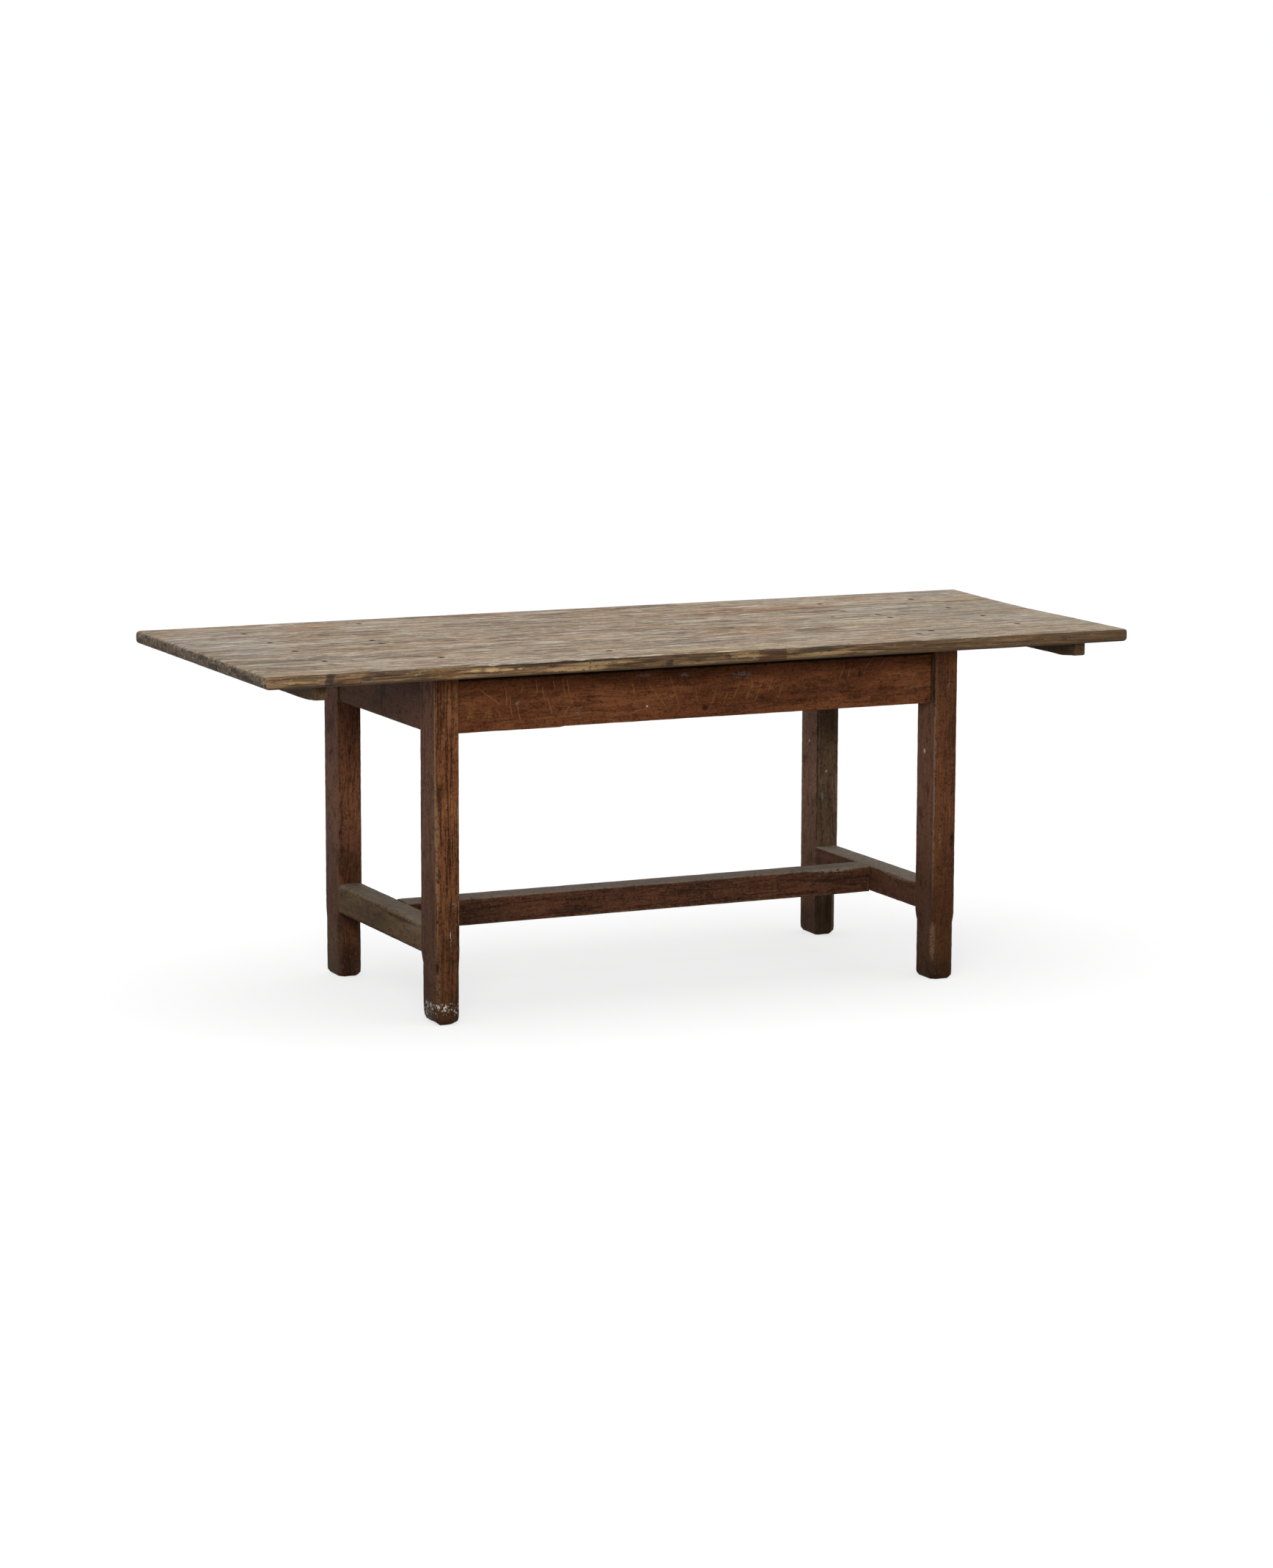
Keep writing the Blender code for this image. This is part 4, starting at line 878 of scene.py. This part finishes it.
def front_edge_marks(tone, place, grit):
    """The worn, flaked and cracked stretches along the top's front edge, and a painted shadow line along its
    top.
    """
    edge_x = place.split()[0]
    for start, end, shade, strength in EDGE_PATCHES:
        tone = tone.blend(shade, edge_x.within(start, end, 0.002) * strength)
    ragged = grit.ease(0.34, 0.47) * 0.85 + 0.15
    for px, pz, rx, rz, shade, strength in EDGE_SPOTS:
        tone = tone.blend(shade, place.patch((px, FRONT_EDGE, pz), (rx, 0.02, rz)) * ragged * strength)
    for x1, z1, x2, z2 in EDGE_CRACKS:
        opened = place.cut((x1, FRONT_EDGE, z1), (x2, FRONT_EDGE, z2), 0.0013, FRONT)
        tone = tone.blend((52, 36, 24), opened * 0.7)
    return tone


def plank_edge(place, there, flow, grit, at_front):
    """The planks' long edges: darker and browner than the face, with growth rings opened by wear."""
    place = place.strayed(there.noise((14, 14, 60), 3, 0.6, 1), (0.018, 0, 0.0036))
    edge_x, _, edge_z = place.split()
    run = flow.noise((6, 6, 110), 4, 0.62)
    strand = flow.noise((10, 10, 320))
    ring = (there.noise((2.6, 2.6, 40), 2.5, 0.5) * 50).math("SINE")
    tone = run.ease(0.36, 0.64).between((98, 71, 48), (140, 111, 78))
    if at_front:
        for start, end, shade, strength in EDGE_STRETCHES:
            tone = tone.blend(shade, edge_x.within(start, end, 0.004) * strength)
    tone = tone.layered(
        ((60, 42, 28), ring.ease(0.45, 0.95) * run.ease(0.62, 0.46) * 0.7),
        ((176, 146, 104), ring.ease(-0.6, -0.95) * run.ease(0.46, 0.6) * 0.5),
        ((50, 36, 26), run.ease(0.42, 0.3) * 0.6),
        ((44, 31, 22), strand.ease(0.45, 0.33) * 0.65),
        ((178, 148, 108), strand.ease(0.57, 0.69) * 0.5),
        ((44, 32, 24), grit.ease(0.43, 0.31) * 0.65),
        ((190, 162, 120), grit.ease(0.6, 0.72) * 0.55),
    )
    if at_front:
        tone = front_edge_marks(tone, place, grit)
    # Painted shade: a dark band along the top of the edge's upper round, and darker brown on its lower round,
    # which faces down.
    return tone.layered(
        (SOOT_AND_SHADE, edge_z.ease(0.7618, 0.7638) * 0.6),
        ((44, 32, 23), edge_z.ease(0.744, 0.7392) * 0.75),
    )


def plank_end(there, fleck, grit, fine):
    """The planks' sawn ends: grey-brown end grain in blotches, with dirt in its pores."""
    blotch = there.noise((45, 17, 70), 4, 0.6)
    light = there.noise((90, 60, 120))
    return fleck.ease(0.36, 0.62).between((78, 65, 51), (124, 108, 89)).layered(
        ((44, 35, 27), blotch.ease(0.52, 0.38) * 0.85),
        ((172, 156, 132), light.ease(0.56, 0.68) * 0.8),
        ((34, 28, 23), grit.ease(0.45, 0.32) * 0.6),
        ((34, 28, 24), fine.ease(0.44, 0.3) * 0.5),
    )


def plank_wood(name, low, high, seed, heads, at_front):
    """Weathered pine, grey and tan, with its grain along X. Its face, its edges and its ends each show their
    own tones, dirt lies along its seams, and a stain lies round each nail head."""
    material, shader, place = new_finish(name)
    there = place.vector("ADD", (seed, seed * 0.3, seed * 0.2))
    x, y, _ = place.split()
    face_x, face_y, face_z = place.facing()
    sway = there.noise((1.2, 5, 5), 3, 0.5, 1).vector("MULTIPLY", (0, 0.05, 0.05))
    flow = there.vector("ADD", sway)
    band = flow.noise((2.6, 18, 18), 4, 0.6)
    warm, cool, rough = flow.noise((3.4, 21, 21), 3, 0.55, 1).split()
    streak = flow.noise((6, 50, 50), 4, 0.62)
    dash = flow.noise((11, 96, 96))
    line = flow.noise((4, 118, 118))
    fibre = flow.noise((34, 215, 215), 3, 0.65)
    fleck = there.noise((60, 95, 95))
    fine = there.noise((300, 300, 300), 2, 0.6)
    grit = there.noise((70, 70, 240), 3, 0.65)
    crack = flow.noise((3.6, 34, 34), 2, 0.5)
    crack = abs(crack - 0.5).ease(0.085, 0.03) * there.noise((8, 24, 24)).ease(0.53, 0.62)
    busy = rough.ease(0.36, 0.6) * 0.7 + 0.3
    tone = band.ease(0.34, 0.66).between((132, 107, 82), (159, 141, 119)).layered(
        ((156, 122, 86), warm.ease(0.48, 0.63) * 0.75),
        ((152, 148, 138), cool.ease(0.5, 0.65) * 0.6),
    )
    bent = place.strayed(there.noise((8, 26, 26), 3, 0.6, 1), (0.12, 0.04, 0))
    for px, py, rx, ry, shade, strength in marks_on(low, high, TOP_PATCHES):
        spread = bent.patch((px, py, MARK_HEIGHT), (rx, ry, MARK_DEPTH)) * strength
        tone = tone.blend(shade, spread * (streak.ease(0.3, 0.52) + 0.3))
    tone = tone.layered(
        ((98, 79, 60), streak.ease(0.48, 0.32) * 0.48),
        ((200, 189, 171), streak.ease(0.54, 0.72) * 0.42),
        ((72, 54, 38), dash.ease(0.43, 0.32) * busy),
        ((216, 206, 188), dash.ease(0.57, 0.68) * busy),
        ((74, 56, 40), line.ease(0.43, 0.33) * 0.8),
        ((210, 198, 178), line.ease(0.57, 0.67) * 0.8),
        ((70, 53, 39), fibre.ease(0.45, 0.34) * 0.75),
        ((212, 202, 184), fibre.ease(0.56, 0.66) * 0.6),
        ((214, 205, 188), fleck.ease(0.63, 0.74) * 0.65),
        ((54, 43, 34), fleck.ease(0.37, 0.27) * busy * 0.8),
        ((60, 45, 33), crack * 0.6),
        ((70, 58, 48), fine.ease(0.34, 0.26) * 0.4),
        ((172, 166, 152), x.ease(0.1, 1.1) * 0.2),
        ((112, 104, 92), x.ease(-0.6, -1.1) * 0.22),
    )
    small = place.strayed(there.noise((50, 110, 110), 2, 0.6, 1), (0.008, 0.005, 0))
    for px, py, rx, ry, shade, strength in marks_on(low, high, TOP_SPOTS):
        tone = tone.blend(shade, small.patch((px, py, MARK_HEIGHT), (rx, ry, MARK_DEPTH)) * strength)
    for x1, y1, x2, y2, shade in TOP_SCRATCHES:
        if low.y < max(y1, y2) and min(y1, y2) < high.y:
            scratch = small.cut((x1, y1, TOP_FACE), (x2, y2, TOP_FACE), 0.0018, (0, 0, 1))
            tone = tone.blend(shade, scratch * 0.55)
    to_seam = (high.y - low.y) / 2 - abs(y - (low.y + high.y) / 2)
    tone = tone.blend((38, 30, 24), to_seam.ease(0.002, 0.0008) * 0.85)
    for px, py in heads:
        tone = tone.blend(NAIL_STAIN_AND_SHADOW, small.patch((px, py, TOP_FACE), (0.0072, 0.008, 0.01)) * 2)
    under = band.ease(0.34, 0.66).between((84, 66, 48), (116, 94, 70))
    under = under.blend((58, 44, 32), line.ease(0.5, 0.36) * 0.6)
    tone = tone.layered(
        (plank_edge(place, there, flow, grit, at_front), abs(face_y).ease(0.45, 0.8)),
        (plank_end(there, fleck, grit, fine), abs(face_x).ease(0.45, 0.8)),
        (under, face_z.ease(-0.4, -0.8)),
    )
    relief = streak * 0.5 + line * 0.4 + fleck * 0.6 + fibre * 0.3
    bump = place.add("Bump", {}, {"Strength": 0.6, "Distance": 0.0016, "Height": relief})
    feed(shader, Base_Color=tone, Normal=bump, Roughness=0.66 + 0.18 * band, Specular_IOR_Level=0.2)
    return material


head_places = []
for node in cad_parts:
    if "_nail_" in node:
        low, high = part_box(node)
        head_places.append(((low.x + high.x) / 2, (low.y + high.y) / 2, high.z))

bpy.ops.object.select_all(action="DESELECT")
holes = []
for spot in head_places:
    bpy.ops.mesh.primitive_cylinder_add(vertices=16, radius=HEAD_HOLE, depth=HEAD_HOLE_DEPTH, location=spot)
    holes.append(bpy.context.object)
for piece in holes:
    piece.select_set(True)
bpy.context.view_layer.objects.active = holes[0]
bpy.ops.object.join()
drill = bpy.context.object
bpy.ops.object.transform_apply(location=True, rotation=True, scale=True)

for number in range(1, 5):
    node = f"top_board_{number}"
    low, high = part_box(node)
    near, far = RIGHT_END[number - 1], RIGHT_END[number]
    high.x = min(near, far)
    low.z -= TOP_SAG
    high.z += TOP_SAG
    piece = block(f"plank_{number}", low, high)
    cut_evenly(piece, 0, FRONT_PLANK_STEP if number == 1 else PLANK_STEP)
    cut_evenly(piece, 1, PLANK_STEP)
    for row in sorted({round(vert.co.y, 5) for vert in bmesh.from_edit_mesh(piece.data).verts}):
        sawn = near + (far - near) * (row - low.y) / (high.y - low.y)
        shift(piece, (sawn - high.x, 0, 0), lambda vert: (
            vert.co.x > high.x - CLOSE and abs(vert.co.y - row) < CLOSE
        ))
    outer = {1: low.y, 4: high.y}.get(number)

    def at_end(part):
        """Whether part of a plank is at one of its sawn ends."""
        return middle_of(part).x < low.x + CLOSE or middle_of(part).x > high.x - CLOSE

    def at_outside(part):
        """Whether part of a plank is on the outer long edge of the top."""
        return outer is not None and abs(middle_of(part).y - outer) < CLOSE

    def at_face(part):
        """Whether part of a plank is on its upper or lower face."""
        return abs(middle_of(part).z - low.z) < CLOSE or abs(middle_of(part).z - high.z) < CLOSE

    for share, test in (
        (1.0, lambda edge: at_end(edge) and at_face(edge)),
        (FRONT_ROUND / END_ROUND, lambda edge: at_outside(edge) and at_face(edge) and runs_along(edge, 0)),
        (CORNER_ROUND / END_ROUND, lambda edge: at_end(edge) and at_outside(edge) and runs_along(edge, 2)),
    ):
        pick(piece, "edges", test)
        bpy.ops.transform.edge_bevelweight(value=share)
    bpy.ops.object.mode_set(mode="OBJECT")
    rounding = piece.modifiers.new("rounding", "BEVEL")
    rounding.limit_method = "WEIGHT"
    rounding.width = END_ROUND
    rounding.segments = 4
    bpy.ops.object.modifier_apply(modifier=rounding.name)
    bpy.ops.object.mode_set(mode="EDIT")
    weather(piece, dent_size=0.16, dent_depth=0.0008, knock_size=0.012, knock_depth=0.0012)
    if number == 1:
        bpy.ops.object.mode_set(mode="EDIT")
        pick(piece, "verts", lambda vert: (
            vert.co.z > BROKEN_ABOVE and vert.co.y < BROKEN_BEFORE and BROKEN_FROM < vert.co.x < BROKEN_TO
        ))
        bpy.ops.object.vertex_group_add()
        piece.vertex_groups.active.name = "broken"
        bpy.ops.object.vertex_group_assign()
        bpy.ops.object.mode_set(mode="OBJECT")
        displace(piece, "broken", 0.022, 0.005, 0.85, "broken")
    cut = piece.modifiers.new("holes", "BOOLEAN")
    cut.object = drill
    cut.solver = "EXACT"
    bpy.ops.object.modifier_apply(modifier=cut.name)
    on_plank = [(px, py) for px, py, pz in head_places if low.y < py < high.y]
    wood = plank_wood(f"plank_{number}_wood", low, high, 2.3 * number, on_plank, number == 1)
    piece.data.materials.append(wood)
    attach(piece, "root")
    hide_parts(node)
bpy.data.objects.remove(drill)


# Cleats
# Two wooden battens under the overhanging ends keep the planks level. Screws come up through them, and
# their lower corners are sawn and worn round.
CLEAT_STEP = 0.01
CLEAT_ARRIS = 0.003
CLEAT_END_ROUND = 0.005
CLEAT_RISE = 0.005
CLEAT_RISE_STEPS = 6
CLEAT_TONES = (107, 83, 61), (124, 98, 72), (50, 38, 28), (136, 112, 84)
# The painted sheen on the cleats' faces along X.
CLEAT_SIDE_SHEEN = (108, 88, 66)
for number, node in enumerate(("cleat_left", "cleat_right")):
    low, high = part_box(node)
    piece = block(node + "_batten", low, high)
    cut_evenly(piece, 1, CLEAT_STEP)
    pick(piece, "edges", lambda edge: (
        runs_along(edge, 0) and abs(middle_of(edge).z - low.z) < CLOSE
        and not low.y + CLOSE < middle_of(edge).y < high.y - CLOSE
    ))
    bpy.ops.mesh.bevel(offset=CLEAT_END_ROUND, segments=4, affect="EDGES")
    pick(piece, "edges", lambda edge: (
        runs_along(edge, 1) and abs(middle_of(edge).z - low.z) < CLOSE
        and not low.x + CLOSE < middle_of(edge).x < high.x - CLOSE
    ))
    bpy.ops.mesh.bevel(offset=CLEAT_ARRIS, segments=2, affect="EDGES")
    for side in (-1, 1):
        for step in range(CLEAT_RISE_STEPS, 0, -1):
            shift(piece, (0, 0, CLEAT_RISE / CLEAT_RISE_STEPS), lambda vert: (
                vert.co.z < low.z + 2 * CLEAT_RISE and side * vert.co.y > high.y - CLEAT_STEP * step
            ))
    weather(piece, dent_size=0.06, dent_depth=0.0008, knock_size=0.014, knock_depth=0.0014)
    piece.data.materials.append(stained_wood(
        node + "_wood", 1, low, high, 51 + 3 * number, CLEAT_TONES, CLEAT_SIDE_SHEEN, 0.45, dust=0.4,
    ))
    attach(piece, "root")
    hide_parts(node)


# Nails and screws
# Old iron nails hold the planks down, with round heads driven just below their face, and iron screws hold
# the cleats up. Both are brown with rust.
iron, shader, place = new_finish("old_iron")
rust = place.noise((420, 420, 420), 4, 0.7)
feed(
    shader,
    Base_Color=rust.ease(0.5, 0.66).between((30, 25, 22), (70, 48, 34)),
    Metallic=0.3,
    Roughness=0.6 + 0.25 * rust,
)
finish_all("_nail_", iron)
finish_all("_screw_", iron)


# Floor and light
# The table stands on a plain floor in front of an even sky, both white to the eye. A soft lamp hangs
# straight above, and a broad one stands at the front left, higher than the top, which shades the rails.
SKY_LEVEL = 0.35
FLOOR_TONE = 0.28
FLOOR_TONE_SEEN = 0.36
FLOOR_GLOW = 0.7


def seen_directly(tree):
    """1 for what the camera sees, also in gloss or through glass, and 0 for the light on the object."""
    paths = Tone(tree, None).add("LightPath", {}, {}).socket.node.outputs
    rays = [Tone(tree, paths[f"Is {kind} Ray"]) for kind in ("Camera", "Glossy", "Transmission")]
    return rays[0].most(rays[1]).most(rays[2])


bpy.ops.object.select_all(action="DESELECT")
bpy.ops.mesh.primitive_plane_add(size=160, location=(0, 0, 0))
floor = bpy.context.object
floor.name = "floor"
paper, shader, place = new_finish("white_floor")
seen = seen_directly(place.tree)
feed(
    shader,
    Base_Color=seen * (FLOOR_TONE_SEEN - FLOOR_TONE) + FLOOR_TONE,
    Roughness=1.0,
    Specular_IOR_Level=0.0,
    Emission_Color=seen * FLOOR_GLOW,
    Emission_Strength=1.0,
)
floor.data.materials.append(paper)

world = bpy.data.worlds.new("white_sky")
world.use_nodes = True
bpy.context.scene.world = world
tree = world.node_tree
sky = tree.nodes["Background"]
sky.inputs["Color"].default_value = (1, 1, 1, 1)
tree.links.new((seen_directly(tree) * (1 - SKY_LEVEL) + SKY_LEVEL).socket, sky.inputs["Strength"])

overhead = bpy.data.lights.new("overhead", "SUN")
overhead.energy = 1.65
overhead.angle = math.radians(80)
hung = bpy.data.objects.new("overhead", overhead)
bpy.context.scene.collection.objects.link(hung)
front = bpy.data.lights.new("front", "AREA")
front.shape = "RECTANGLE"
front.size = 1.6
front.size_y = 1.2
front.energy = 60
stood = bpy.data.objects.new("front", front)
stood.location = (-2.0, -3.6, 2.0)
stood.rotation_euler = (Vector((0, 0, 0.5)) - stood.location).to_track_quat("-Z", "Y").to_euler()
bpy.context.scene.collection.objects.link(stood)

bpy.context.scene.view_settings.view_transform = "Standard"
